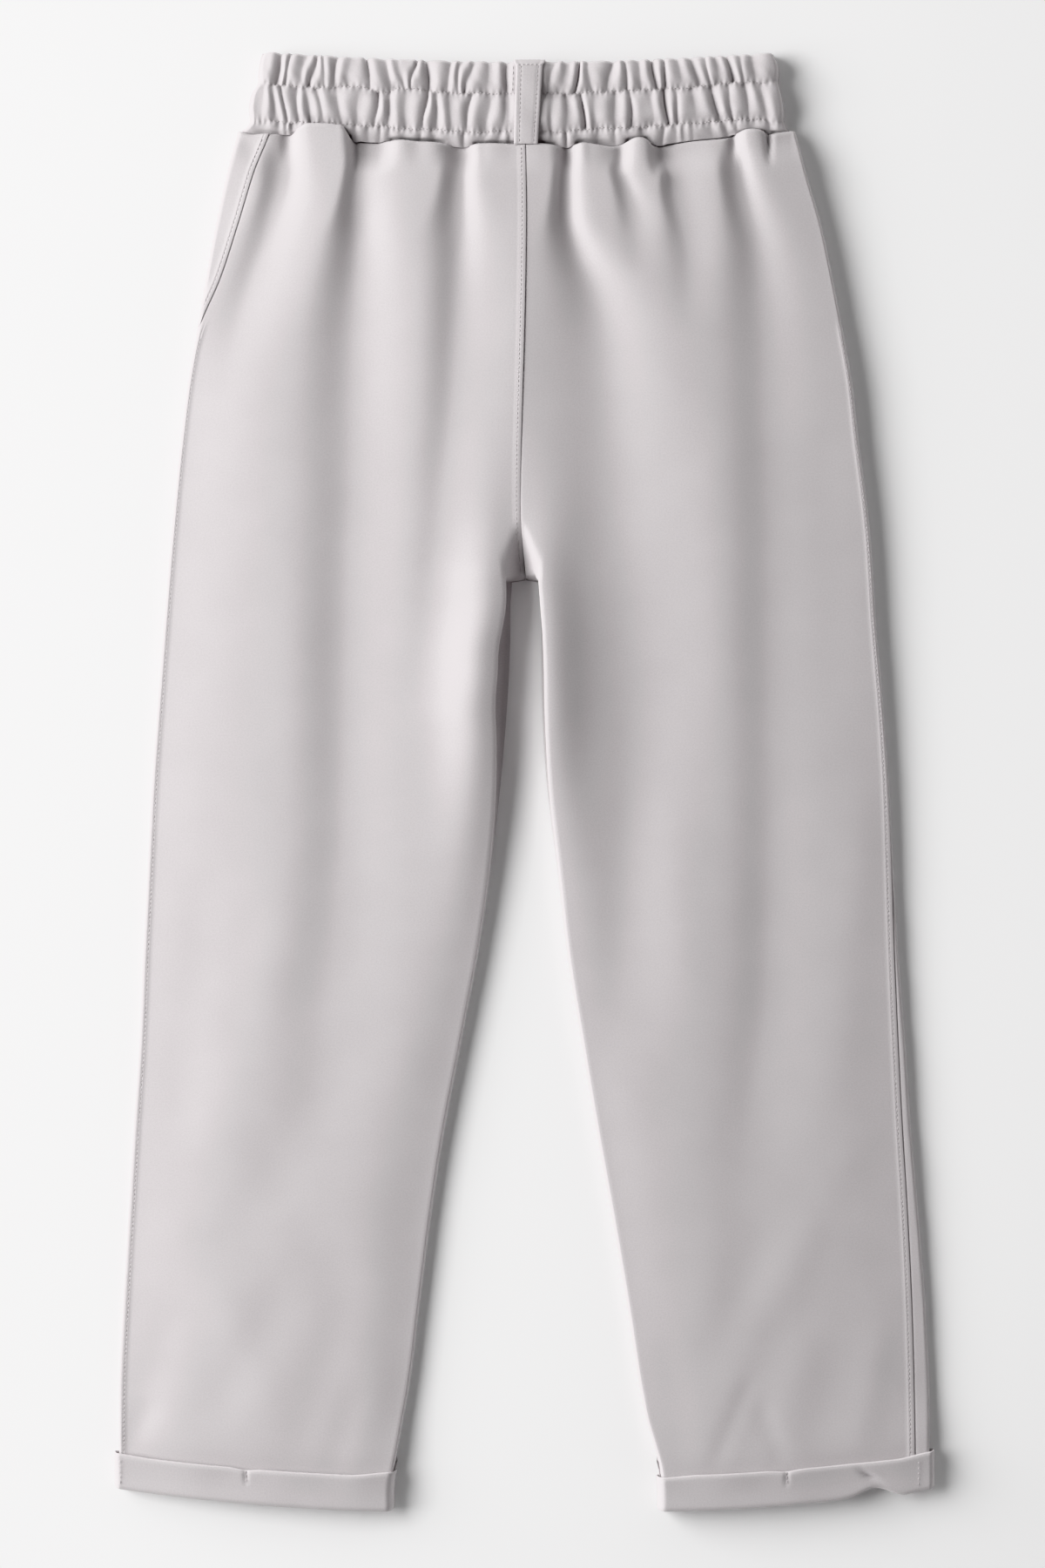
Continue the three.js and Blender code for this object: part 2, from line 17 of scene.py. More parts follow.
import bpy
import numpy as np
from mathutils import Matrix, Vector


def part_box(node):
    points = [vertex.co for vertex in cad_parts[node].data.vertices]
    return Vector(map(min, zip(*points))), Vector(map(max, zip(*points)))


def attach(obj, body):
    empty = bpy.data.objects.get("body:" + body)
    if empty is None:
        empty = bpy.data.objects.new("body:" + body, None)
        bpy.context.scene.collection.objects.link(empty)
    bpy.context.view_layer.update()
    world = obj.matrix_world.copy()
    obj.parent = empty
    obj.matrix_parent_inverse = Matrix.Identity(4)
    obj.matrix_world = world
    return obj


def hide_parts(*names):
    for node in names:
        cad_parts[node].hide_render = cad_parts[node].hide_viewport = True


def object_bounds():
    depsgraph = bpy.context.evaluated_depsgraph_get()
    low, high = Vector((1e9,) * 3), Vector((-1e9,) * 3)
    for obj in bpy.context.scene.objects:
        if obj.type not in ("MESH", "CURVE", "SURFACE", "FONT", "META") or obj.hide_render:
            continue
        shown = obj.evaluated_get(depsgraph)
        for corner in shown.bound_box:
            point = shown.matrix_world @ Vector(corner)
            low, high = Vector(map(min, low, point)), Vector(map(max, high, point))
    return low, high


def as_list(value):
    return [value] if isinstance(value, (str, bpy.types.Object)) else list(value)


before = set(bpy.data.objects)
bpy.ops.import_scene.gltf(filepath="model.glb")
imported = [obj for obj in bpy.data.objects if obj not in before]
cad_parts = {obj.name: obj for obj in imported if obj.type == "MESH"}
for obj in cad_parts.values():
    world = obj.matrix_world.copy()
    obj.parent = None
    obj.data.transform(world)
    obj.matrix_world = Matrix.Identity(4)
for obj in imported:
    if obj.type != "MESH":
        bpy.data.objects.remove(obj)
CAD_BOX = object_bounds()

log = logging.getLogger("trousers")

Array = np.ndarray
Colour = tuple[float, float, float]
MM = 0.001
HALF_TURN = math.pi / 2


class Side(Enum):
    """The wearer's left or right, with the sign that x has there."""

    LEFT = -1
    RIGHT = 1

    @property
    def word(self) -> str:
        """The side's name as the nodes spell it."""
        return self.name.lower()


class Facing(Enum):
    """The way that a sheet's outer face looks, on the whole."""

    UP = (0, 0, 1)
    DOWN = (0, 0, -1)
    LEFT = (-1, 0, 0)
    RIGHT = (1, 0, 0)


def ease(value: Array | float) -> Array:
    """A share from 0 to 1 that starts and ends gently.

    Args:
        value: the share before easing, of any size.

    Returns:
        The eased share.
    """
    t = np.clip(value, 0.0, 1.0)
    return t * t * (3 - 2 * t)


def mix(a: Array | float, b: Array | float, share: Array | float) -> Array:
    """The value that lies at a share of the way from a to b."""
    return a + (b - a) * share


def bell(distance: Array, width: Array | float) -> Array:
    """A soft bump, 1 at its middle and nearly nothing beyond twice its width."""
    return np.exp(-((distance / width) ** 2))


@dataclass
class Table:
    """Rows of sizes with named columns, read as smooth curves along the first column."""

    columns: str
    rows: list[tuple[float, ...]]
    _points: dict[str, Array] = field(init=False, default_factory=dict)

    def __post_init__(self) -> None:
        """Sorts the rows by their first column and keeps each column as an array."""
        ordered = np.array(sorted(self.rows), dtype=float)
        self._points = dict(zip(self.columns.split(), ordered.T))
        self._places = ordered[:, 0]

    def read(self, column: str, at: Array | float) -> Array:
        """A column's value at any place along the first column.

        Args:
            column: the column's name.
            at: one place or an array of them.

        Returns:
            The values, flat beyond the first and last rows.
        """
        places = self._places
        values = self._points[column]
        at = np.asarray(at, dtype=float)
        i = np.clip(np.searchsorted(places, at, side="right") - 1, 0, len(places) - 2)
        span = places[i + 1] - places[i]
        t = np.clip((at - places[i]) / span, 0.0, 1.0)
        slopes = np.gradient(values, places)
        bend = t * t * (3 - 2 * t)
        curve = slopes[i] * t * (1 - t) ** 2 - slopes[i + 1] * t * t * (1 - t)
        return mix(values[i], values[i + 1], bend) + span * curve


# The garment's outline, the same as its solids'.
SIDES = Table(
    "up left right left_seam right_seam",
    [
        (0, 273, 272, 1, 11),
        (80, 273, 271.5, 1, 11.2),
        (138, 270.5, 269, 1, 10.2),
        (197, 267, 264.5, 1, 8.5),
        (255, 263.5, 259.5, 1, 7),
        (314, 259.5, 255.5, 1, 6),
        (372, 257, 251, 1, 4),
        (431, 254, 247.5, 1, 2.5),
        (489, 251, 244.5, 1, 1.5),
        (536, 247.5, 241, 1, 1),
        (594, 243, 236, 1, 1),
        (659, 237.5, 231.5, 1, 1),
        (723, 231, 223.5, 1, 1),
        (758, 226.5, 219.5, 1, 1),
        (789, 221, 214, 2, 1),
        (828, 214.5, 206.5, 12, 1),
        (863, 208, 199, 17, 1),
        (899, 200, 188.5, 20, 1),
        (927, 193, 181.5, 23, 1),
    ],
)

INSEAMS = Table(
    "up left right",
    [
        (0, 91, 91.5),
        (20, 90.3, 91.4),
        (29, 88, 90.4),
        (44, 85, 86.4),
        (61, 82, 81.4),
        (80, 78.5, 77.6),
        (138, 71, 68.5),
        (197, 63.5, 58.5),
        (255, 54.5, 48),
        (314, 43, 38),
        (372, 32, 28.5),
        (431, 23, 21.5),
        (489, 16.5, 14.5),
        (536, 12.5, 11.7),
        (571, 10.5, 11),
        (625, 10.4, 10),
    ],
)

# Height of the upper cloth between its folds, of the widest point of the edge, and the radius of the
# upper half of the rolled edge.
SWELL = Table(
    "up crown edge roll",
    [
        (0, 12.5, 5.2, 9),
        (140, 13, 5.2, 9),
        (300, 14, 5.4, 9.5),
        (430, 15, 5.6, 10),
        (560, 17, 6, 11),
        (650, 18.5, 6.4, 13),
        (760, 20, 6.8, 15),
        (880, 20.5, 6.8, 16),
        (927, 19, 6.5, 15),
    ],
)

# The crest along the inside of each leg: how far it leans back from the inseam, how far it stands
# above the rest of the cloth, and the radius of its turn.
RIDGE = Table(
    "up lean_left lean_right rise roll",
    [
        (0, 0, 0, 0, 2), (330, 0, 0, 0, 2), (420, 0, 0, 1.6, 2), (480, 1.4, 0, 4.4, 2),
        (517, 4, 0, 7, 2), (542, 6.6, 0, 8.4, 2), (561, 6.2, 0, 9, 2), (581, 5.8, -0.4, 9, 2),
        (590, 4.2, -0.8, 8.8, 2), (606, 1.6, -2, 8, 2.2), (625, 1.4, -3.2, 6.6, 2.6),
        (640, 0.5, -3, 4.6, 5), (662, 0, 0, 2.4, 8), (720, 0, 0, 0, 8), (930, 0, 0, 0, 8),
    ],
)

# The troughs between the pleats, each with its depth and how far it reaches to its left and right.
TROUGH_COLUMNS = "up x depth left right"
TROUGHS = [
    Table(
        TROUGH_COLUMNS,
        [
            (919, -156.5, 7.5, 15, 4), (889, -160, 7, 14, 8), (865, -168, 6.4, 13, 12),
            (839, -178, 5.4, 13, 16), (810, -187, 4, 14, 18), (780, -194, 2, 15, 18),
            (740, -200, 0, 15, 17),
        ],
    ),
    Table(
        TROUGH_COLUMNS,
        [
            (919, -112, 9, 4, 13), (889, -112, 9, 8, 13), (865, -112.5, 11.8, 11, 14),
            (840, -113, 11.8, 15, 18), (810, -114, 11.5, 20, 22), (752, -116, 11.2, 24, 24),
            (687, -116, 10.5, 24, 26), (628, -118, 10, 24, 27), (548, -120, 9.5, 24, 28),
            (454, -122, 7.5, 24, 30), (360, -129, 5, 26, 30), (290, -136, 2.4, 28, 30),
            (200, -145, 0, 28, 30),
        ],
    ),
    Table(
        TROUGH_COLUMNS,
        [
            (919, -41.5, 8.5, 9, 4), (889, -42, 8.4, 12, 5), (865, -43, 8.7, 14, 8),
            (840, -44, 7.8, 14, 11), (800, -45.5, 6.7, 14, 15), (752, -48, 5.8, 14, 18),
            (682, -54, 3.7, 15, 20), (600, -62, 1.8, 15, 20), (530, -68, 0, 15, 20),
        ],
    ),
    Table(
        TROUGH_COLUMNS,
        [
            (919, 28.5, 9.5, 6, 3.5), (889, 28, 9.8, 8, 4.5), (863, 29, 11.7, 10, 6),
            (845, 34, 11.5, 13, 10), (819, 45, 11.5, 20, 16), (793, 51, 11.7, 26, 20),
            (752, 55, 11.6, 30, 23), (653, 63, 9.8, 33, 27), (583, 73, 8.4, 31, 28),
            (501, 75, 6.8, 26, 26), (419, 70, 5.2, 23, 24), (355, 66, 3, 20, 22),
            (290, 62, 0, 16, 16),
        ],
    ),
    Table(
        TROUGH_COLUMNS,
        [
            (919, 64.5, 6, 4, 3), (905, 63.5, 5.4, 5, 5), (893, 68, 5, 7, 5),
            (876, 73, 3.8, 9, 8), (850, 76, 1.6, 10, 10), (825, 78, 0, 10, 10),
        ],
    ),
    Table(
        TROUGH_COLUMNS,
        [
            (919, 93, 8, 3.5, 17), (905, 97, 7.6, 4.5, 17), (889, 100, 6.8, 7, 16),
            (865, 106, 5, 9, 15), (840, 110, 3.2, 11, 14), (790, 112, 0, 12, 14),
        ],
    ),
    Table(
        TROUGH_COLUMNS,
        [
            (919, 141.5, 9, 9, 3), (900, 144.5, 8.6, 11, 5), (875, 149, 7.6, 12, 8),
            (850, 154, 7.6, 14, 12), (828, 157, 7.2, 17, 15), (795, 160, 6.4, 20, 19),
            (752, 161, 5.8, 20, 21), (688, 164, 5.2, 20, 22), (583, 165, 5, 20, 22),
            (454, 166, 5.2, 20, 22), (337, 162, 5, 20, 24), (220, 148, 3.8, 22, 24),
            (126, 134, 0, 22, 22),
        ],
    ),
]

# How the body meets the waistband: the seam's wander above its level line, and the height of the
# body's cloth there. It is high where a pleat puffs over the seam and low between two pleats.
PLEATS = Table(
    "x rise height",
    [
        (-193, -0.5, 11), (-182, -2.4, 12), (-177.3, -1.6, 12.5), (-165, -0.9, 11.5),
        (-159.8, -0.9, 9), (-155.1, 0.6, 11.5), (-153.3, 3, 14.5), (-149.8, 5.6, 16.5),
        (-146.9, 7.1, 17.2), (-142.2, 7.6, 17.6), (-125.8, 7.5, 18), (-122.3, 7, 18),
        (-120.6, 4.5, 17.5), (-118.2, 1.1, 15.5), (-115.9, -2.3, 11), (-110, -2.7, 8.8),
        (-101.3, -3, 9.3), (-97.2, -2.8, 10), (-92.5, -1.6, 12), (-88.4, -0.8, 15),
        (-72, -1, 16), (-55.6, -1.7, 14.8), (-53.3, -2, 13.5), (-48.6, -3.3, 10),
        (-42.8, -3.8, 8.5), (-38.1, -3.2, 10), (-34, -1.7, 14), (-27, -1.3, 15.5),
        (-7.7, -1.6, 15.5), (12.8, -1.3, 15.6), (18, -2, 15.3), (22.5, -2.9, 13),
        (26, -3.5, 8.6), (29.8, -3.6, 8.4), (32.4, -2.4, 12), (36, -1.3, 15.6),
        (44, -1.7, 16), (50.8, -2.8, 15.4), (59.6, -3.8, 13.2), (63.7, -3.1, 11.4),
        (68.4, -0.9, 14), (71.3, 0.6, 16), (74.2, 1.4, 16.8), (78.9, 1.2, 17),
        (82.4, -0.9, 16.4), (85.9, -4.2, 13), (90, -5, 9), (94.7, -4.2, 8.4),
        (103.5, -3.1, 9.8), (115.2, -2.3, 11.4), (126.9, -2, 12.4), (135.7, -1.4, 11.4),
        (140.2, 0, 8.6), (143.3, 1.9, 13.5), (146.2, 2.9, 16), (151.5, 3.3, 17),
        (156.1, 2.7, 16.6), (160.2, 1.2, 14.5), (162.4, -0.9, 11), (166, -0.6, 13.6),
        (172, 0, 13), (178.4, 0.1, 12),
    ],
)

# Soft creases in the laid cloth, each from one end to the other. A positive height is a ridge.
CREASE_COLUMNS = ("x1", "up1", "x2", "up2", "width", "height")
CREASES = [
    (-189, 665, -50, 635, 1.6, -0.3),
    (-266, 30, -252, 64, 9, -0.6),
    (-262, 44, -238, 130, 14, -0.6),
    (-131, 26, -113, 80, 11, -0.45),
    (-113, 30, -99, 96, 12, 0.25),
    (-150, 40, -120, 140, 16, -0.6),
    (-208, 60, -160, 150, 16, -0.6),
    (-205, 240, -150, 420, 26, 0.8),
    (-190, 190, -120, 300, 22, -0.7),
    (-232, 260, -215, 420, 16, -0.6),
    (-178, 640, -190, 760, 22, 0.6),
    (106, 34, 94, 120, 12, -0.45),
    (128, 34, 150, 84, 7, -0.5),
    (112, 90, 186, 210, 20, -0.7),
    (150, 110, 226, 250, 16, 0.5),
    (-160, 60, -232, 190, 18, 0.5),
    (-120, 150, -176, 250, 18, -0.5),
    (172, 30, 158, 70, 8, -0.5),
    (150, 40, 175, 150, 16, -0.7),
    (192, 36, 218, 150, 17, -0.6),
    (225, 40, 240, 120, 12, 0.5),
    (120, 120, 150, 260, 18, 0.8),
    (208, 210, 186, 120, 18, -0.7),
    (214, 300, 226, 470, 18, 0.7),
    (112, 330, 96, 480, 22, 0.8),
    (138, 560, 128, 720, 22, 0.9),
    (208, 560, 200, 720, 16, -0.5),
]

# Where the centre seam and its cloth wander, to the left when negative.
CENTRE = Table(
    "up shift",
    [
        (570, 0), (600, 0.3), (625, 0.5), (641, -1), (649, -1.8), (658, -2.5), (687, -3),
        (735, -2.1), (780, -0.8), (833, 0.4), (880, 0.8), (915, 0.3), (930, 0),
    ],
)

# How high the waistband's two stitch rows lie above its seam, across the back.
ROWS = Table(
    "x low high",
    [
        (-176, 6.8, 32.3), (-160, 7.2, 31.8), (-140, 8.2, 31.6), (-125, 8.3, 33), (-115, 8.2, 34),
        (-95, 8.2, 31), (-86, 7.2, 33.4), (-60, 7.2, 32.4), (-40, 6, 31.8), (-10, 7, 32),
        (12, 6.6, 31.8), (28, 6.4, 31.8), (40, 8, 32.2), (68, 8, 33), (90, 9, 33.2),
        (115, 9.4, 33.5), (140, 10, 35), (155, 9.4, 34), (170, 6.4, 33),
    ],
)

# The waistband's edges and the swell of its two stitched channels, by height above the seam.
BAND = Table(
    "rise left right top gather",
    [
        (-3, 191, 179.5, 10.6, 0.5),
        (0, 190, 178, 11.6, 0.7),
        (4, 186.5, 175.6, 13.2, 0.9),
        (7.5, 185, 174.4, 12.9, 0.8),
        (9.5, 185.2, 174.2, 13.9, 0.95),
        (13, 185.8, 174.4, 15.6, 1),
        (20, 185.5, 173.6, 16.4, 1),
        (27, 183.4, 172.4, 15.8, 1),
        (30.6, 181, 171.4, 14.2, 0.9),
        (32.4, 180, 171, 13.7, 0.8),
        (34.4, 179.6, 171, 14.6, 0.95),
        (38, 179.6, 171.2, 16, 1),
        (44, 179.2, 170.8, 16.6, 1),
        (50, 178, 168.8, 15.8, 1),
        (53, 177, 167, 14, 0.9),
        (54.4, 176.4, 166.2, 11.6, 0.8),
    ],
)

# The valleys between the gathers, from the photographed back: place, depth and lean of each.
UPPER_CHANNEL = [
    (-176.1, 1.6, 1.5), (-165, 3.2, 2), (-158.6, 2.2, 4), (-148.6, 1.3, 2.5), (-141.6, 2.6, 3.5),
    (-135.2, 1.2, 0), (-127, 2.4, 3), (-117.1, 1.4, 1), (-105.4, 3.2, -2.5), (-91.9, 2, -1),
    (-83, 1.4, -4), (-74.9, 2.2, 3.5), (-65.6, 4, -1.5), (-51, 2.8, 3), (-44, 1.3, 1),
    (-37.5, 2.2, 4.5), (-25.2, 2, 1.5), (-12.3, 3.2, 1), (17.5, 2.6, 3), (25.7, 1.6, 1),
    (35.6, 3.6, 3.5), (43.2, 2.2, -2), (56.7, 2.8, 2), (67.2, 2.4, -1.5), (76.6, 2.2, 0),
    (86.5, 3.6, -2.5), (93.5, 3.2, -2), (102.9, 1.8, -2), (114, 2, -3), (122.8, 1.8, -3),
    (128.1, 1.3, -3), (136.8, 3, -2.5), (145.6, 1.6, -1), (153.2, 1.6, -3), (167.8, 1.3, -1),
]
LOWER_CHANNEL = [
    (-176, 1.2, 0), (-169.1, 1.8, -1), (-161.5, 3, -2), (-152.2, 2.4, -1), (-145.7, 2, -3),
    (-137.5, 1.6, -2), (-124.7, 1.8, -1), (-111.8, 2, 0), (-99.5, 3.4, 1), (-91.3, 2.6, 2),
    (-79.6, 1.8, 1), (-66.7, 3.4, 1.5), (-59.7, 2.4, 0), (-50.4, 2.2, 0), (-37.5, 2.4, 2),
    (-24.6, 2, 1), (-14.1, 2.4, 1.5), (11.1, 3, 0.5), (18.1, 1.6, 0), (27.4, 2.2, -1),
    (39.1, 4, -1), (47.3, 1.8, 0), (60.2, 2.2, -1), (70.7, 2.8, -1), (84.8, 1.8, -1),
    (94.7, 4, -2), (101.7, 2.4, -1.5), (112.8, 1.8, -1.5), (127.5, 3.6, -2.5), (138, 2.4, -2),
    (148.5, 2.8, -2.5), (159.6, 1.6, -2), (170.8, 1.4, 0),
]
RUFFLE = [
    (-176, 0.8, 0), (-166.2, 1.2, 1), (-159.8, 1.6, 2), (-155.7, 2, -2), (-136.9, 0.8, 0),
    (-120.6, 1, 1), (-113.5, 1.2, 2), (-104.8, 1.8, -2), (-97.8, 1.4, 0), (-91.3, 1, 2),
    (-80.2, 1.2, 1), (-69.7, 1.4, 0), (-61.5, 1.2, -1), (-50.4, 1, 1), (-40.4, 2, 0),
    (-27.6, 1.4, 3), (-18.2, 1.6, 3), (-9.4, 1, 2), (10.5, 1.6, 1), (17.5, 1.4, 0),
    (27.4, 2.6, 1), (38, 1.2, -1), (49.1, 1.6, -1), (59.6, 1.2, -2), (70.1, 1, 0),
    (80.1, 1.6, -3), (93, 2.4, 1), (100.6, 1.6, 0), (106.4, 0.8, 0), (113.4, 0.8, -1),
    (124, 1.2, -3), (133.9, 1.6, -4), (142.7, 1.4, -2), (152, 1, 0), (163.2, 1.8, 2),
    (172, 1, -2),
]


@dataclass(frozen=True)
class Cut:
    """The garment's section on one side at each of several heights, one row for each."""

    side: Side
    up: Array
    out: Array
    seam: Array
    inner: Array
    ridge: Array
    ridge_roll: Array
    crown: Array
    edge: Array
    roll: Array


@dataclass(frozen=True)
class Garment:
    """The sizes that every piece shares, and the lie of the cloth."""

    seam_gap: float = 0.3
    knit: float = 1.2  # thickness of the shells
    solid_knit: float = 1.6  # thickness of the solids' walls
    join_up: float = 926.5
    join_sag: float = 8.0
    sag_fade: float = 90.0
    half_waist: float = 190.0
    crotch_up: float = 625.0
    hem_rise: float = 14.8
    hem_fade: float = 150.0
    hem_inside: float = 92.0
    hem_outside: float = 275.0
    under_roll: float = 5.0
    bridge_half: float = 10.2
    bridge_from: float = 664.0
    hollow_left: float = 10.5  # the hollow above the crotch reaches this far to the left
    hollow_right: float = 7.4
    hollow_depth: float = 13.0
    inseam_z: float = 2.6
    join_rise: float = 24.0
    slump_left: float = 8.2  # how far the cloth settles towards its left side
    slump_right: float = 6.6
    reach_left: float = 44.0  # how far in from its side that starts
    reach_right: float = 64.0
    edge_share: float = 0.65  # height of the side's widest point, against its solid's
    side_roll: float = 0.16  # the rolled side is this much tighter than its solid's
    fold_share: float = 0.56  # depth of the shells' troughs against the table's
    waist_fold_share: float = 0.7
    inner_slump: float = 4.2
    slump_fade: float = 60.0  # below the waistband, over which the sides settle
    inner_reach: float = 24.0
    inner_fade: float = 160.0
    ridge_back_left: float = 15.0  # the fold by the gap is highest this far behind its edge
    ridge_back_right: float = 6.0
    ridge_spread: float = 20.0
    wander_reach: float = 26.0  # the centre seam's wander dies away this far from it
    kink_height: float = 5.8  # the right hem's fold kinks upwards here
    kink_x: float = 234.0
    kink_end: float = 254.0  # and dips a little here
    kink_fade: float = 21.0
    turn_wall: float = 2.6
    turn_gap: float = 0.45
    turn_up: float = 25.0
    turn_slope: float = 14.0
    hem_fold: float = 0.3  # the folded hem's lowest edge, up from the line that "up" starts at

    def seam_x(self) -> float:
        """Where the centre seam lies in the frame, in millimetres.

        Returns:
            The distance from the frame's middle, to the right when positive.
        """
        left_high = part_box("back_panel_left")[1][0]
        right_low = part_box("back_panel_right")[0][0]
        return (left_high + right_low) / 2 / MM

    def place(self, x: Array, up: Array, z: Array) -> Array:
        """Garment places as points of the frame, in metres.

        Args:
            x: distances from the centre seam.
            up: distances up the garment.
            z: heights above the ground.

        Returns:
            Points, with the three coordinates along the last axis.
        """
        low = CAD_BOX[0][1] / MM
        y = self.warp(x, up) + low - self.hem_fold
        across = x + CENTRE.read("shift", up) * bell(x, self.wander_reach) + self.seam_x()
        return np.stack(np.broadcast_arrays(across, y, z), axis=-1) * MM

    def warp(self, x: Array, up: Array) -> Array:
        """The waist line sags at the centre back, and the hems climb towards the sides.

        Args:
            x: distances from the centre seam.
            up: distances up the garment.

        Returns:
            Distances up the frame from the line that "up" starts at.
        """
        fade = ease(1 - (self.join_up - up) / self.sag_fade)
        sag = self.join_sag * (1 - (x / self.half_waist) ** 2) * fade
        reach = np.clip((np.abs(x) - self.hem_inside) / (self.hem_outside - self.hem_inside), 0, 1.1)
        bump = bell(x - self.kink_x, 12) - 0.25 * bell(x - self.kink_end, 8)
        kink = self.kink_height * bump * ease(1 - up / self.kink_fade)
        return up - sag + kink + self.hem_rise * reach**1.6 * ease(1 - up / self.hem_fade)

    def cut(self, side: Side, up: Array) -> Cut:
        """The section of one side at each height, as columns that spread over a grid.

        Args:
            side: the garment's side.
            up: distances up the garment.

        Returns:
            The section, with one row for each height.
        """
        up = np.asarray(up, dtype=float).reshape(-1, 1)
        widening = ease((self.bridge_from - up) / (self.bridge_from - self.crotch_up) * 1.6)
        inner = INSEAMS.read(side.word, up)
        ridge = inner + RIDGE.read(f"lean_{side.word}", up)
        above = up > self.crotch_up
        inner = np.where(above, mix(2.0, inner, widening), inner)
        ridge = np.where(above, mix(2.0, ridge, widening), ridge)
        return Cut(
            side=side,
            up=up,
            out=SIDES.read(side.word, up),
            seam=SIDES.read(f"{side.word}_seam", up),
            inner=inner,
            ridge=ridge,
            ridge_roll=RIDGE.read("roll", up),
            crown=SWELL.read("crown", up),
            edge=SWELL.read("edge", up) * self.edge_share,
            roll=SWELL.read("roll", up) * self.side_roll,
        )

    def join_edge(self, x: Array) -> Array:
        """How far up the garment the body's cloth reaches at the waistband."""
        return self.join_up + PLEATS.read("rise", x)

    def lie(self, x: Array, up: Array) -> Array:
        """Height of the upper face of the back, away from its rolled edges.

        Args:
            x: distances from the centre seam.
            up: distances up the garment.

        Returns:
            Heights above the ground.
        """
        x, up = np.broadcast_arrays(x, up)
        height = SWELL.read("crown", up)
        share = mix(self.fold_share, self.waist_fold_share, ease((up - 700) / 150))
        crisp = mix(2.0, 3.6, ease((up - 845) / 50))
        for trough in TROUGHS:
            distance = x - trough.read("x", up)
            near = np.exp(-(np.abs(distance / trough.read("left", up)) ** crisp))
            reach = trough.read("right", up)
            far = 0.45 * bell(distance, reach) + 0.55 * np.exp(-((distance / reach / 1.7) ** 2))
            depth = share * np.maximum(0, trough.read("depth", up))
            height = height - depth * np.where(distance < 0, near, far)
        height = height + self.creases(x, up) + self.ripple(x, up)
        height = height + self.ridge(x, up) - self.slump(x, up)
        below = self.join_edge(x) - up
        return mix(PLEATS.read("height", x), height, ease(below / self.join_rise))

    def ridge(self, x: Array, up: Array) -> Array:
        """How far the cloth stands up along the insides of the legs.

        Args:
            x: distances from the centre seam.
            up: distances up the garment.

        Returns:
            Heights to add to the cloth.
        """
        side = np.where(x < 0, INSEAMS.read("left", up), INSEAMS.read("right", up))
        lean = np.where(x < 0, RIDGE.read("lean_left", up), RIDGE.read("lean_right", up))
        behind = np.where(x < 0, self.ridge_back_left, self.ridge_back_right)
        return RIDGE.read("rise", up) * bell(np.abs(x) - side - lean - behind, self.ridge_spread)

    def hollow(self, x: Array, up: Array) -> Array:
        """How far the cloth sinks at the centre seam, just above the crotch.

        Args:
            x: distances from the centre seam.
            up: distances up the garment.

        Returns:
            Depths to take from the cloth.
        """
        near = ease((self.bridge_from - up) / (self.bridge_from - self.crotch_up))
        reach = np.where(x < 0, self.hollow_left, self.hollow_right) * mix(0.4, 1.0, near)
        return self.hollow_depth * near**0.8 * np.exp(-((np.abs(x) / reach) ** 2.4))

    def slump(self, x: Array, up: Array) -> Array:
        """How far the cloth settles towards the thin folded sides of the garment.

        Args:
            x: distances from the centre seam.
            up: distances up the garment.

        Returns:
            Depths to take from the cloth.
        """
        side = np.where(x < 0, SIDES.read("left", up), SIDES.read("right", up))
        inwards = np.maximum(0, side - np.abs(x))
        near_waist = ease((self.join_up - up) / self.slump_fade)
        above_hem = ease((up - 22) / 60)
        inseam = np.where(x < 0, INSEAMS.read("left", up), INSEAMS.read("right", up))
        beside = np.maximum(0, np.abs(x) - inseam)
        below_crotch = ease((self.crotch_up - self.slump_fade - up) / self.inner_fade)
        inner = self.inner_slump * np.exp(-((beside / self.inner_reach) ** 1.5))
        inner = inner * np.where(x < 0, 1.0, 0.6) * below_crotch * mix(0.4, 1, above_hem)
        reach = np.where(x < 0, self.reach_left, self.reach_right)
        outer = np.where(x < 0, self.slump_left, self.slump_right)
        outer = outer * np.exp(-((inwards / reach) ** 1.4))
        return inner + outer * mix(0.4, 1, near_waist) * mix(0.55, 1, above_hem)

    def creases(self, x: Array, up: Array) -> Array:
        """Height that the listed creases add.

        Args:
            x: distances from the centre seam.
            up: distances up the garment.

        Returns:
            Heights to add to the cloth.
        """
        total = np.zeros_like(x, dtype=float)
        for row in CREASES:
            crease = dict(zip(CREASE_COLUMNS, row))
            run_x = crease["x2"] - crease["x1"]
            run_up = crease["up2"] - crease["up1"]
            length = math.hypot(run_x, run_up)
            along = ((x - crease["x1"]) * run_x + (up - crease["up1"]) * run_up) / length
            across = ((x - crease["x1"]) * run_up - (up - crease["up1"]) * run_x) / length
            past = np.maximum(0, np.abs(along - length / 2) - length / 3) / (length / 4)
            total += crease["height"] * bell(across, crease["width"]) * np.exp(-(past**2))
        return total

    def ripple(self, x: Array, up: Array) -> Array:
        """The small unevenness of cloth that was smoothed down by hand.

        Args:
            x: distances from the centre seam.
            up: distances up the garment.

        Returns:
            Heights to add to the cloth.
        """
        broad = np.sin(x / 17 + up / 61 + 0.7) * np.sin(up / 43 - x / 90)
        fine = np.sin(x / 9.5 - up / 27 + 1.9) * np.sin(up / 19 + x / 31 + 0.4)
        return 0.22 * broad + 0.07 * fine

    def hem_lift(self, up: Array) -> Array:
        """How far the underside is lifted by the turned-up hem beneath it."""
        rise = self.turn_wall + self.turn_gap
        return rise * ease((self.turn_up + 2 - up) / self.turn_slope + 1)

    def inseam_height(self, up: Array) -> Array:
        """Height of the inseam, which rises with the hem."""
        return self.inseam_z + 0.6 * self.hem_lift(up)

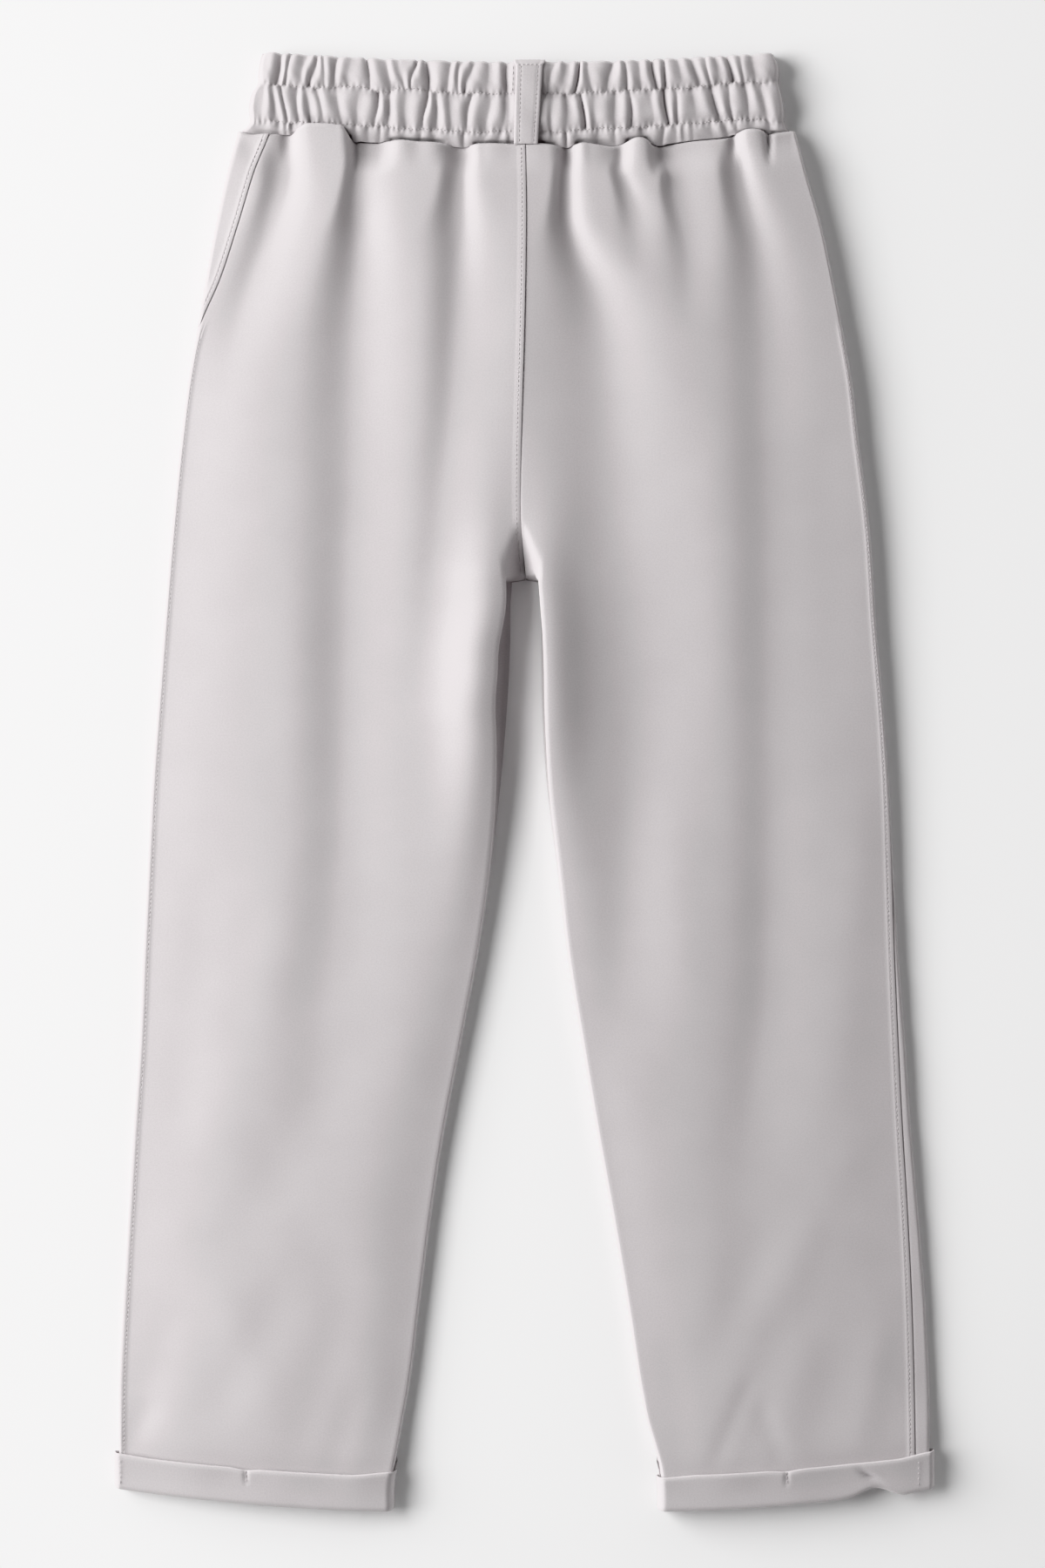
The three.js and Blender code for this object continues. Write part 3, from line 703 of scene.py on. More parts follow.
    def round_side(self, cut: Cut, arc: Array) -> tuple[Array, Array]:
        """Points round a side, by the distance from its widest point.

        Args:
            cut: the section.
            arc: distances, over the top when positive and underneath when negative.

        Returns:
            How far out each point lies, and its height.
        """
        radius = np.where(arc >= 0, cut.roll, self.under_roll)
        turn = np.minimum(np.abs(arc) / radius, HALF_TURN)
        along = np.maximum(0, np.abs(arc) - radius * HALF_TURN)
        out = cut.out - radius * (1 - np.cos(turn)) - along
        low = self.hem_lift(cut.up) + 0 * out
        level = np.where(arc >= 0, self.lie(cut.side.value * out, cut.up), low)
        return out, mix(cut.edge, level, np.sin(turn))


GARMENT = Garment()


def deselect() -> None:
    """Leaves nothing selected, so that an operator acts only on what is made next."""
    if bpy.context.object and bpy.context.object.mode != "OBJECT":
        bpy.ops.object.mode_set(mode="OBJECT")
    bpy.ops.object.select_all(action="DESELECT")


def write_points(piece: bpy.types.Object, points: Array) -> None:
    """Moves a mesh's points to places worked out for them."""
    piece.data.vertices.foreach_set("co", np.ascontiguousarray(points, dtype=np.float32).ravel())
    piece.data.update()


def write_uv(piece: bpy.types.Object, uv: Array) -> None:
    """Gives each point's own UV to the corners that meet there, in metres of cloth.

    Args:
        piece: the object.
        uv: one pair for each point.
    """
    mesh = piece.data
    layer = mesh.uv_layers.active or mesh.uv_layers.new(name="cloth")
    layer.name = "cloth"
    corners = np.empty(len(mesh.loops), dtype=np.int32)
    mesh.loops.foreach_get("vertex_index", corners)
    layer.data.foreach_set("uv", np.ascontiguousarray(uv[corners], dtype=np.float32).ravel())


def grid_uv(points: Array) -> Array:
    """Distances along the cloth for a grid of points: across each row and down each column.

    Args:
        points: the points, row by row.

    Returns:
        One pair for each point, in metres, with 0 across at the middle of each row.
    """
    across = np.linalg.norm(np.diff(points, axis=1), axis=-1)
    down = np.linalg.norm(np.diff(points, axis=0), axis=-1).mean(axis=1)
    u = np.concatenate([np.zeros((points.shape[0], 1)), np.cumsum(across, axis=1)], axis=1)
    v = np.concatenate([[0.0], np.cumsum(down)])[:, None] + 0 * u
    middle = u[:, -1:] / 2
    return np.stack([u - middle, v], axis=-1)


def dress(piece: bpy.types.Object, material: bpy.types.Material) -> None:
    """Gives a finished piece its material and smooth shading.

    Args:
        piece: the piece.
        material: its finish.
    """
    piece.data.materials.clear()
    piece.data.materials.append(material)
    piece.data.shade_smooth()


@dataclass(frozen=True)
class Cloth:
    """What a cloth piece is sewn from and how it lies."""

    slot: str
    flat: tuple[float, float]
    held: str
    rests: tuple[str, ...] = ()
    area: float | None = None

    def hand_over(self, piece: bpy.types.Object, material: bpy.types.Material, node: str) -> None:
        """Dresses a finished piece, hangs it under the root and hides the solid that it stands for.

        Args:
            piece: the piece.
            material: its finish.
            node: the solid.
        """
        dress(piece, material)
        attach(piece, "root")
        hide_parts(node)
        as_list(self.rests)
        log.info("%s: %d faces", piece.name, len(piece.data.polygons))


def sheet_from_grid(name: str, points: Array, wall: float, facing: Facing) -> bpy.types.Object:
    """Models one piece of cloth: a grid primitive, shaped row by row and then given its thickness.

    Args:
        name: the piece's name.
        points: the outer face, one row of points for each section.
        wall: the cloth's thickness in millimetres.
        facing: the way that the outer face looks.

    Returns:
        The finished piece.
    """
    rows, columns = points.shape[:2]
    deselect()
    bpy.ops.mesh.primitive_grid_add(x_subdivisions=columns - 1, y_subdivisions=rows - 1, size=1)
    piece = bpy.context.object
    piece.name = name
    piece.data.name = name
    at = np.empty(len(piece.data.vertices) * 3)
    piece.data.vertices.foreach_get("co", at)
    at = at.reshape(-1, 3)
    column = np.rint((at[:, 0] + 0.5) * (columns - 1)).astype(int)
    row = np.rint((0.5 - at[:, 1]) * (rows - 1)).astype(int)
    write_points(piece, points[row, column])
    write_uv(piece, grid_uv(points)[row, column])
    towards = Vector(facing.value)
    if sum(p.normal.dot(towards) * p.area for p in piece.data.polygons) < 0:
        bpy.ops.object.mode_set(mode="EDIT")
        bpy.ops.mesh.select_all(action="SELECT")
        bpy.ops.mesh.flip_normals()
        bpy.ops.object.mode_set(mode="OBJECT")
    bpy.ops.object.modifier_add(type="SOLIDIFY")
    solidify = piece.modifiers[-1]
    solidify.thickness = wall * MM
    solidify.offset = -1
    bpy.ops.object.modifier_apply(modifier=solidify.name)
    walled = np.empty(len(piece.data.vertices) * 3)
    piece.data.vertices.foreach_get("co", walled)
    walled = walled.reshape(-1, 3)
    walled[:, 2] = np.maximum(walled[:, 2], 0)
    write_points(piece, walled)
    return piece


def steps(start: Array | float, end: Array | float, count: int) -> Array:
    """Evenly spaced values from start to end, both included, along the last axis."""
    share = np.linspace(0, 1, count + 1)
    return start + (end - start) * share


def shaded(colour: Colour, share: float = 1.0) -> tuple[float, ...]:
    """A colour at a share of its brightness, as a node takes it."""
    return (*(part * share for part in colour), 1)


def ramp(nodes: bpy.types.Nodes, low: tuple, high: tuple) -> bpy.types.Node:
    """Adds a colour ramp between two stops.

    Args:
        nodes: the material's or the world's nodes.
        low: the first stop's place and colour.
        high: the second stop's place and colour.

    Returns:
        The ramp's node.
    """
    made = nodes.new("ShaderNodeValToRGB")
    for element, (place, colour) in zip(made.color_ramp.elements, (low, high)):
        element.position = place
        element.color = colour
    return made


@dataclass(frozen=True)
class KnitFinish:
    """Smooth double knit: fine courses and wales, a soft matt sheen and slightly uneven dye."""

    name: str = "knit"
    colour: Colour = (0.525, 0.497, 0.505)
    roughness: float = 0.82
    sheen: float = 0.22
    wale: float = 0.75  # millimetres from one column of loops to the next
    course: float = 0.6  # and from one row to the next
    relief: float = 0.022  # millimetres
    nap: float = 1.1  # millimetres across the specks of the brushed face
    nap_relief: float = 0.07
    fleck: float = 0.93  # brightness of the darkest fibres against the lightest
    blotch: float = 29.41  # millimetres across the patches of uneven dye
    dye: float = 0.972  # brightness of the darkest patch against the lightest

    def material(self) -> bpy.types.Material:
        """Builds the material's nodes.

        Returns:
            The material, on the piece's own map of the cloth in metres.
        """
        made = bpy.data.materials.new(self.name)
        made.use_nodes = True
        nodes = made.node_tree.nodes
        links = made.node_tree.links
        shader = nodes["Principled BSDF"]
        shader.inputs["Roughness"].default_value = self.roughness
        shader.inputs["Sheen Weight"].default_value = self.sheen
        shader.inputs["Sheen Roughness"].default_value = 0.5
        shader.inputs["Specular IOR Level"].default_value = 0.25
        place = nodes.new("ShaderNodeTexCoord")

        dye = nodes.new("ShaderNodeTexNoise")
        dye.inputs["Scale"].default_value = 1 / (self.blotch * MM)
        dye.inputs["Detail"].default_value = 3.0
        links.new(place.outputs["UV"], dye.inputs["Vector"])
        tint = ramp(nodes, (0.3, shaded(self.colour, self.dye)), (0.7, shaded(self.colour)))
        links.new(dye.outputs["Fac"], tint.inputs["Fac"])

        specks = nodes.new("ShaderNodeTexNoise")
        specks.inputs["Scale"].default_value = 1 / (self.nap * MM)
        specks.inputs["Detail"].default_value = 2.0
        specks.inputs["Roughness"].default_value = 0.7
        links.new(place.outputs["UV"], specks.inputs["Vector"])
        white = (1.0, 1.0, 1.0)
        fibres = ramp(nodes, (0.36, shaded(white, self.fleck)), (0.62, shaded(white)))
        links.new(specks.outputs["Fac"], fibres.inputs["Fac"])
        heather = nodes.new("ShaderNodeMix")
        heather.data_type = "RGBA"
        heather.blend_type = "MULTIPLY"
        heather.inputs["Factor"].default_value = 1.0
        links.new(tint.outputs["Color"], heather.inputs["A"])
        links.new(fibres.outputs["Color"], heather.inputs["B"])
        links.new(heather.outputs["Result"], shader.inputs["Base Color"])

        loops = nodes.new("ShaderNodeMapping")
        loops.inputs["Scale"].default_value = (1 / (self.wale * MM), 1 / (self.course * MM), 1)
        links.new(place.outputs["UV"], loops.inputs["Vector"])
        wales = self._ribs(made, loops, "X")
        courses = self._ribs(made, loops, "Y")
        weave = nodes.new("ShaderNodeMath")
        weave.operation = "MULTIPLY_ADD"
        weave.inputs[1].default_value = 0.6
        links.new(wales.outputs["Fac"], weave.inputs[0])
        links.new(courses.outputs["Fac"], weave.inputs[2])
        relief = nodes.new("ShaderNodeBump")
        relief.inputs["Strength"].default_value = 0.5
        relief.inputs["Distance"].default_value = self.relief * MM
        links.new(weave.outputs["Value"], relief.inputs["Height"])
        brushed = nodes.new("ShaderNodeBump")
        brushed.inputs["Strength"].default_value = 0.5
        brushed.inputs["Distance"].default_value = self.nap_relief * MM
        links.new(specks.outputs["Fac"], brushed.inputs["Height"])
        links.new(relief.outputs["Normal"], brushed.inputs["Normal"])
        links.new(brushed.outputs["Normal"], shader.inputs["Normal"])
        return made

    @staticmethod
    def _ribs(made: bpy.types.Material, source: bpy.types.Node, way: str) -> bpy.types.Node:
        """Adds one set of fine ribs, one unit of the mapping apart.

        Args:
            made: the material.
            source: the mapping that the ribs follow.
            way: X for wales and Y for courses.

        Returns:
            The ribs' node.
        """
        ribs = made.node_tree.nodes.new("ShaderNodeTexWave")
        ribs.wave_type = "BANDS"
        ribs.bands_direction = way
        ribs.inputs["Scale"].default_value = math.pi / 10
        ribs.inputs["Distortion"].default_value = 0.6
        ribs.inputs["Detail"].default_value = 0.0
        made.node_tree.links.new(source.outputs["Vector"], ribs.inputs["Vector"])
        return ribs


@dataclass(frozen=True)
class ThreadFinish:
    """Spun polyester sewing thread, a shade lighter than the cloth."""

    name: str = "thread"
    colour: Colour = (0.54, 0.51, 0.517)
    ply: float = 0.35  # millimetres from one twist to the next

    def material(self) -> bpy.types.Material:
        """Builds the material's nodes, with a twist in place of a weave.

        Returns:
            The material.
        """
        made = bpy.data.materials.new(self.name)
        made.use_nodes = True
        nodes = made.node_tree.nodes
        links = made.node_tree.links
        shader = nodes["Principled BSDF"]
        shader.inputs["Roughness"].default_value = 0.55
        shader.inputs["Sheen Weight"].default_value = 0.15
        place = nodes.new("ShaderNodeTexCoord")
        twist = nodes.new("ShaderNodeTexNoise")
        twist.inputs["Scale"].default_value = 1 / (self.ply * MM)
        links.new(place.outputs["Object"], twist.inputs["Vector"])
        tint = ramp(nodes, (0, shaded(self.colour, 0.9)), (1, shaded(self.colour)))
        links.new(twist.outputs["Fac"], tint.inputs["Fac"])
        links.new(tint.outputs["Color"], shader.inputs["Base Color"])
        return made


@dataclass(frozen=True)
class FloorFinish:
    """A smooth, pale, matt surface."""

    colour: Colour = (0.93, 0.925, 0.925)

    def material(self) -> bpy.types.Material:
        """Builds the floor's material.

        Returns:
            The material.
        """
        made = bpy.data.materials.new("pale_surface")
        made.use_nodes = True
        shader = made.node_tree.nodes["Principled BSDF"]
        shader.inputs["Base Color"].default_value = (*self.colour, 1)
        shader.inputs["Roughness"].default_value = 0.9
        shader.inputs["Specular IOR Level"].default_value = 0.1
        return made


# Distances from a seam for the columns of points beside it, close together where it is stitched.
SEAM_COLUMNS = np.array([0.05, 0.35, 0.8, 1.4, 2.1, 2.6, 2.95, 3.2, 3.45, 3.8, 4.4, 5.3, 7.0])


@dataclass
class Leg:
    """One side of the body: its back panel, front panel and pocket facing."""

    side: Side
    finish: bpy.types.Material
    row_pitch: float = 3.2
    front_pitch: float = 5.2  # no row falls on the crotch's or the pocket foot's own
    columns: int = 92  # across the flat of the back
    pocket_foot: float = 795.0
    pocket_dip: float = 5.0
    pocket_reach: float = 44.0
    front_wrap: float = 22.0
    hem_up: float = 3.6
    seam_groove: float = 0.25  # depth of the groove along a seam
    welt: float = 3.2  # distance from a seam to its topstitching
    welt_height: float = 0.42
    tuck: float = 0.35  # how far the fold by the gap overhangs, as a share of its rise
    back_area: float = 0.207  # square metres of the flat cut
    front_area: float = 0.201
    facing_areas: tuple[float, float] = (0.0052, 0.0042)

    def body_rows(self, lowest: float) -> Array:
        """Distances below the waist edge for the rows of points, close together near the pleats.

        Args:
            lowest: how far up the garment the last row is.

        Returns:
            The distances, from the waist edge down.
        """
        near = np.array([0, 0.6, 1.3, 2.2, 3.2, 4.4, 5.8, 7.4, 9.2, 11.4, 13.8])
        rest = np.arange(16.4, GARMENT.join_up - lowest, self.row_pitch)
        return np.concatenate([near, rest, [GARMENT.join_up - lowest]])

    def back_points(self) -> Array:
        """The outer face of the back panel, from its side seam to its centre seam or inseam.

        Returns:
            Points of the frame, one row for each height.
        """
        below = self.body_rows(self.hem_up)
        crotch = GARMENT.join_up - GARMENT.crotch_up
        below = np.sort(np.concatenate([below, crotch + np.array([-1.2, -0.4, 0.4, 1.2, 2.0])]))
        up = GARMENT.join_up - below
        cut = GARMENT.cut(self.side, up)
        sign = self.side.value
        roll = cut.seam + SEAM_COLUMNS
        end = np.maximum(cut.roll * HALF_TURN + 1.5, roll[:, -1:] + 3)
        roll = np.concatenate([roll, steps(roll[:, -1:], end, 3)[:, 1:]], axis=1)
        out, z = GARMENT.round_side(cut, roll)
        z = z + self.sewn(roll - cut.seam) * ease((self.pocket_foot + 4 - cut.up) / 8)
        z = z - 0.3 * np.exp(-(roll - cut.seam) / 0.6) * (cut.up >= self.pocket_foot)
        flat = steps(out[:, -1:], cut.ridge + cut.ridge_roll, self.columns)[:, 1:]
        flat_z = GARMENT.lie(sign * flat, cut.up)
        turned, turned_z = self._inner_edge(cut)
        x = sign * np.concatenate([out, flat, turned], axis=1)
        z = np.concatenate([z, flat_z, turned_z], axis=1)
        rows = cut.up + 0 * x
        gather = ease(1 - (GARMENT.join_up - cut.up) / 30)
        rows = rows + (GARMENT.join_edge(x) - GARMENT.join_up) * gather
        z = z + self._centre_seam(x, cut.up)
        z = z - self._curl(x, rows)
        return GARMENT.place(x, rows, z)

    def sewn(self, inside: Array) -> Array:
        """The relief beside a topstitched seam: its groove, the raised welt and the stitches' dent.

        Args:
            inside: distances from the seam.

        Returns:
            Heights to add to the cloth.
        """
        groove = -self.seam_groove * np.exp(-inside / 0.6)
        welt = self.welt_height * (1 - ease((inside - self.welt - 0.3) / 1.6))
        dent = -0.24 * bell(inside - self.welt, 0.5)
        return groove + welt + dent

    def _curl(self, x: Array, up: Array) -> Array:
        """How far the waist edge turns down into the seam where a pleat puffs over it.

        Args:
            x: distances from the centre seam.
            up: distances up the garment.

        Returns:
            Depths to take from the cloth.
        """
        below = np.maximum(0, GARMENT.join_edge(x) - up)
        puffed = ease((PLEATS.read("height", x) - 11) / 4)
        return (0.6 + 2.6 * puffed) * np.maximum(0, 1 - below / 2.6) ** 2

    def _centre_seam(self, x: Array, up: Array) -> Array:
        """The groove at the centre seam, with a slight welt under the topstitching to its left.

        Args:
            x: distances from the centre seam.
            up: distances up the garment.

        Returns:
            Heights to add to the cloth.
        """
        above = ease((up - GARMENT.crotch_up) / 4)
        groove = -self.seam_groove * np.exp(-np.abs(x) / 0.6)
        return above * np.where(x < 0, self.sewn(-x), groove)

    def _inner_edge(self, cut: Cut) -> tuple[Array, Array]:
        """The back panel's edge: down the leg's inside, or across the hollow to the centre seam.

        Args:
            cut: the section at each row.

        Returns:
            How far out each of the edge's points lies, and its height.
        """
        sign = self.side.value
        turn = np.radians(steps(75, 0, 7))
        share = ease((GARMENT.crotch_up - cut.up + 1.2) / 2.4)
        tucked = self.tuck * RIDGE.read("rise", cut.up) * share
        out = cut.ridge + cut.ridge_roll * (1 - np.cos(turn)) + tucked * (1 - np.sin(turn))
        level = GARMENT.lie(sign * out, cut.up)
        sunk = level - GARMENT.hollow(sign * out, cut.up)
        z = mix(sunk, mix(cut.edge, level, np.sin(turn)), share)
        start = out[:, -1:]
        bridge_out = np.minimum(SEAM_COLUMNS[::-1], start - 0.02 * np.arange(1, len(SEAM_COLUMNS) + 1))
        bridge_z = GARMENT.lie(sign * bridge_out, cut.up) - GARMENT.hollow(sign * bridge_out, cut.up)
        lowest = 2 * GARMENT.solid_knit + GARMENT.seam_gap
        bridge_z = mix(lowest, bridge_z, ease((cut.up - GARMENT.crotch_up - 0.4) / 2.2))
        across = (start - bridge_out) / (start - SEAM_COLUMNS[0])
        leg_out = mix(start, cut.inner, across)
        foot = GARMENT.inseam_height(cut.up) + GARMENT.seam_gap / 2
        leg_z = mix(z[:, -1:], foot, across)
        last_out = mix(bridge_out, leg_out, share)
        last_z = mix(bridge_z, leg_z, share)
        return np.concatenate([out, last_out], axis=1), np.concatenate([z, last_z], axis=1)

    def front_edge(self, cut: Cut) -> Array:
        """Distance round the side to the front panel's edge: the side seam or the pocket mouth.

        Args:
            cut: the section at each row.

        Returns:
            The distance at each row, negative where it is underneath.
        """
        share = (cut.up - self.pocket_foot) / (GARMENT.join_up - self.pocket_foot)
        mouth = mix(cut.seam - self.pocket_dip, -self.pocket_reach, share)
        return np.where(cut.up < self.pocket_foot, cut.seam, mouth)

    def front_points(self) -> Array:
        """The outer face of the front panel, which lies on the ground and wraps up its side.

        Returns:
            Points of the frame, one row for each height.
        """
        rows = np.arange(self.hem_up, GARMENT.join_up - 0.15, self.front_pitch)
        marks = [self.pocket_foot - 0.3, self.pocket_foot, GARMENT.crotch_up, GARMENT.crotch_up - 1.4]
        up = np.sort(np.concatenate([rows, marks, [GARMENT.join_up - 0.15]]))[::-1]
        cut = GARMENT.cut(self.side, up)
        start = self.front_edge(cut) - GARMENT.seam_gap / 2
        arcs = steps(start, start - self.front_wrap, 16)
        out, z = GARMENT.round_side(cut, arcs)
        z = z - self.seam_groove * np.exp((arcs - start) / 0.8) * (arcs >= 0)
        inner = np.where(cut.up > GARMENT.crotch_up, GARMENT.bridge_half, cut.inner)
        flat = steps(out[:, -1:], inner + GARMENT.under_roll, 26)[:, 1:]
        low = GARMENT.hem_lift(cut.up)
        share = ease((GARMENT.crotch_up - 2 - cut.up) / 45)
        angle = np.radians(mix(90, steps(60, 0, 4), share))
        turned = inner + mix(steps(1.0, -0.8, 4), GARMENT.under_roll * (1 - np.cos(angle)), share)
        foot = GARMENT.inseam_height(cut.up) - GARMENT.seam_gap / 2
        turned_z = mix(low, mix(foot, low, np.sin(angle)), share)
        above = cut.up >= GARMENT.crotch_up
        turned[:, -1:] = np.where(above, GARMENT.seam_gap / 2, turned[:, -1:])
        x = self.side.value * np.concatenate([out, flat, turned], axis=1)
        height = np.concatenate([z, low + 0 * flat, turned_z], axis=1)
        return GARMENT.place(x, cut.up + 0 * x, height)

    def facing_points(self) -> Array:
        """The pocket facing, from the pocket seam on the back over the edge to the pocket mouth.

        Returns:
            Points of the frame, one row for each height.
        """
        up = np.linspace(GARMENT.join_up - 0.2, self.pocket_foot + 0.3, 60)
        cut = GARMENT.cut(self.side, up)
        near = cut.seam - SEAM_COLUMNS
        arcs = steps(near[:, -1:], self.front_edge(cut) + GARMENT.seam_gap / 2, 32)
        arcs = np.concatenate([near, arcs[:, 1:]], axis=1)
        out, z = GARMENT.round_side(cut, arcs)
        z = z + self.sewn(cut.seam - arcs) * ease(arcs / 2)
        x = self.side.value * out
        rows = cut.up + (GARMENT.join_edge(x) - GARMENT.join_up) * ease(
            1 - (GARMENT.join_up - cut.up) / 30
        )
        return GARMENT.place(x, rows, np.maximum(z, 0))

    def build(self) -> None:
        """Models and dresses the side's three pieces."""
        word = self.side.word
        back = sheet_from_grid(f"back_leg_{word}", self.back_points(), GARMENT.knit, Facing.UP)
        front = sheet_from_grid(f"front_leg_{word}", self.front_points(), GARMENT.knit, Facing.DOWN)
        outward = Facing[self.side.name]
        facing = sheet_from_grid(f"side_facing_{word}", self.facing_points(), GARMENT.knit, outward)
        facing_area = self.facing_areas[0 if self.side is Side.LEFT else 1]
        under = (front.name,)
        sizes = (
            (back, "back_panel", (0.285, 0.94), self.back_area, under),
            (front, "front_panel", (0.285, 0.935), self.front_area, ()),
            (facing, "pocket_facing", (0.068, 0.135), facing_area, ()),
        )
        for piece, node, flat, area, rests in sizes:
            cloth = Cloth("knit", flat, "laid", rests, area)
            cloth.hand_over(piece, self.finish, f"{node}_{word}")


@dataclass
class Waistband:
    """The elasticated casing: two puffed channels between stitch rows, above a small ruffle."""

    finish: bpy.types.Material
    edge: float = 4.6  # height of the widest point
    roll: float = 4.2
    gather: float = 0.85  # share of the gathers' depths in the tables
    wall: float = 2.0
    calm: float = 12.0  # no gathers this far either side of the belt loop
    loop_x: float = 3.0
    channel_half: float = 12.5  # half the height of one channel
    row_low: float = 7.5  # stitch rows above the seam
    row_high: float = 32.4
    top: float = 54.4

    def valleys(self, table: list[tuple[float, ...]], x: Array, rise: Array, middle: float) -> Array:
        """Depth below the crests of one channel's gathers.

        Args:
            table: the channel's valleys.
            x: distances across the band.
            rise: heights above the seam.
            middle: height of the channel's middle, where the table's places are.

        Returns:
            Depths, none at a crest.
        """
        place, depth, lean = np.array(table).T
        count = np.arange(len(place))
        turns = np.sin(count * 2.1) * 0.35
        tilt = (rise - middle) / self.channel_half
        sway = 0.9 * np.sin(tilt * 1.9 + np.interp(x, place, count * 1.7))
        local = x - np.interp(x, place, lean) * tilt - sway
        i = np.clip(np.searchsorted(place, local) - 1, 0, len(place) - 2)
        t = np.clip((local - place[i]) / (place[i + 1] - place[i]), 0, 1)
        t = t ** np.exp(turns[i])
        deep = mix(depth[i], depth[i + 1], t)
        puff = np.sin(np.pi * t) ** mix(1.45, 0.85, np.clip((deep - 1) / 2.6, 0, 1))
        uneven = 1 + 0.3 * np.sin(tilt * 1.6 + np.interp(local, place, count * 2.3))
        return self.gather * deep * uneven * (1 - puff)

    def surface(self, x: Array, rise: Array) -> Array:
        """Height of the outer face over the top of the band, before its sides roll away.

        Args:
            x: distances from the centre seam.
            rise: heights above the waist seam.

        Returns:
            Heights above the ground.
        """
        upper = self.valleys(UPPER_CHANNEL, x, rise, 44.0)
        lower = self.valleys(LOWER_CHANNEL, x, rise, 20.0)
        ruffle = self.valleys(RUFFLE, x, rise, 3.0)
        high = ease((rise - self.row_high + 1.2) / 2.4)
        low = ease((self.row_low + 1.2 - rise) / 2.4)
        depth = upper * high + ruffle * low + lower * (1 - high) * (1 - low)
        rows = bell(rise - self.row_high, 2.4) + bell(rise - self.row_low, 2.4)
        pucker = 0.26 * rows * np.sin(x / 0.62 + 1.6 * np.sin(x / 7.3))
        wander = 0.3 * np.sin(x / 4.1 + rise / 9) * np.sin(x / 13.7 - rise / 14)
        fine = 0.12 * np.sin(x / 1.9 + rise / 5 + 2 * np.sin(rise / 6)) * np.sin(x / 9.1 + rise / 7)
        gathered = (depth * BAND.read("gather", rise) - wander - pucker - fine) * self.calm_share(x)
        return BAND.read("top", rise) - gathered

    def calm_share(self, x: Array) -> Array:
        """No gathers beside the belt loop, where the share is 0."""
        return ease((np.abs(x - self.loop_x) - self.calm) / 5 + 0.5)

    def shift(self, x: Array, rise: Array) -> Array:
        """How far the gathers draw the cloth up or down from its level line.

        Args:
            x: distances from the centre seam.
            rise: heights above the waist seam.

        Returns:
            How far up each place is moved.
        """
        low = (ROWS.read("low", x) - self.row_low) * bell(rise - self.row_low, 9)
        high = (ROWS.read("high", x) - self.row_high) * bell(rise - self.row_high, 11)
        jog = 0.45 * np.sin(x / 2.3 + 2.2 * np.sin(x / 11)) * self.calm_share(x)
        low = low + jog * bell(rise - self.row_low, 5)
        high = high - jog * bell(rise - self.row_high, 6)
        notch = 0.42 * self.valleys(UPPER_CHANNEL, x, rise, 44.0) * self.calm_share(x)
        return low + high - notch * ease((rise - 46) / 8.4)

    def _across(self, rise: Array, share: Array) -> tuple[Array, Array, Array]:
        """Places across the band by share of the way round, with the turn of the rolled sides.

        Args:
            rise: a column of heights above the seam.
            share: a row of shares from the left side to the right.

        Returns:
            The plan place, the place measured along the cloth, and the turn from upright to level.
        """
        left, right = BAND.read("left", rise), BAND.read("right", rise)
        quarter = self.roll * HALF_TURN
        length = left + right - 2 * self.roll + 2 * quarter
        arc = length * share
        near = np.minimum(arc, length - arc)
        turn = np.minimum(near / self.roll, HALF_TURN)
        inwards = self.roll * (1 - np.cos(turn)) + np.maximum(0, near - quarter)
        plan = np.where(arc > length / 2, right - inwards, inwards - left)
        along = arc - left - (quarter - self.roll)
        return plan, along, turn

    def back_points(self) -> Array:
        """The outer face of the back half.

        Returns:
            Points of the frame, one row for each height.
        """
        rise = np.concatenate([np.linspace(-2.4, 52.4, 70), [53.1, 53.7, 54.1, 54.35]])[::-1, None]
        share = np.linspace(0.0006, 0.9994, 580)[None, :]
        plan, along, turn = self._across(rise, share)
        top = self.surface(along, rise)
        over = ease((rise - 51.5) / 2.9)
        top = top - 2.2 * over**2
        tucked = ease((1.5 - rise) / 3)
        puffed = ease((PLEATS.read("height", along) - 12.5) / 2.5)
        top = top - tucked * (0.6 + 1.6 * puffed)
        z = mix(self.edge, top, np.sin(turn))
        seam = np.minimum(PLEATS.read("rise", along), -0.4) + 2.4
        rows = rise + self.shift(along, rise) + seam * ease((3 - rise) / 5)
        shove = (BAND.read("top", rise) - self.surface(along, rise)) * np.cos(turn)
        x = plan - np.sign(plan) * 0.7 * np.clip(shove, -0.5, 2)
        return GARMENT.place(x, GARMENT.join_up + rows, z)

    def front_points(self) -> Array:
        """The outer face of the front half, flattened against the ground.

        Returns:
            Points of the frame, one row for each height.
        """
        rise = np.linspace(0.2, 53.8, 26)[::-1, None]
        share = np.linspace(0.0006, 0.9994, 260)[None, :]
        plan, along, turn = self._across(rise, share)
        lift = 0.5 * (BAND.read("top", rise) - self.surface(-along, rise))
        z = mix(self.edge, np.clip(lift, 0.02, 1.4), np.sin(turn))
        return GARMENT.place(plan, GARMENT.join_up + rise, z)

    def build(self) -> None:
        """Models and dresses both halves."""
        back = sheet_from_grid("waist_casing_back", self.back_points(), self.wall, Facing.UP)
        front = sheet_from_grid("waist_casing_front", self.front_points(), self.wall, Facing.DOWN)
        for piece, node, rests in (
            (back, "waistband_back", (front.name,)),
            (front, "waistband_front", ()),
        ):
            cloth = Cloth("waistband_knit", (0.47, 0.058), "gathered", rests)
            cloth.hand_over(piece, self.finish, node)


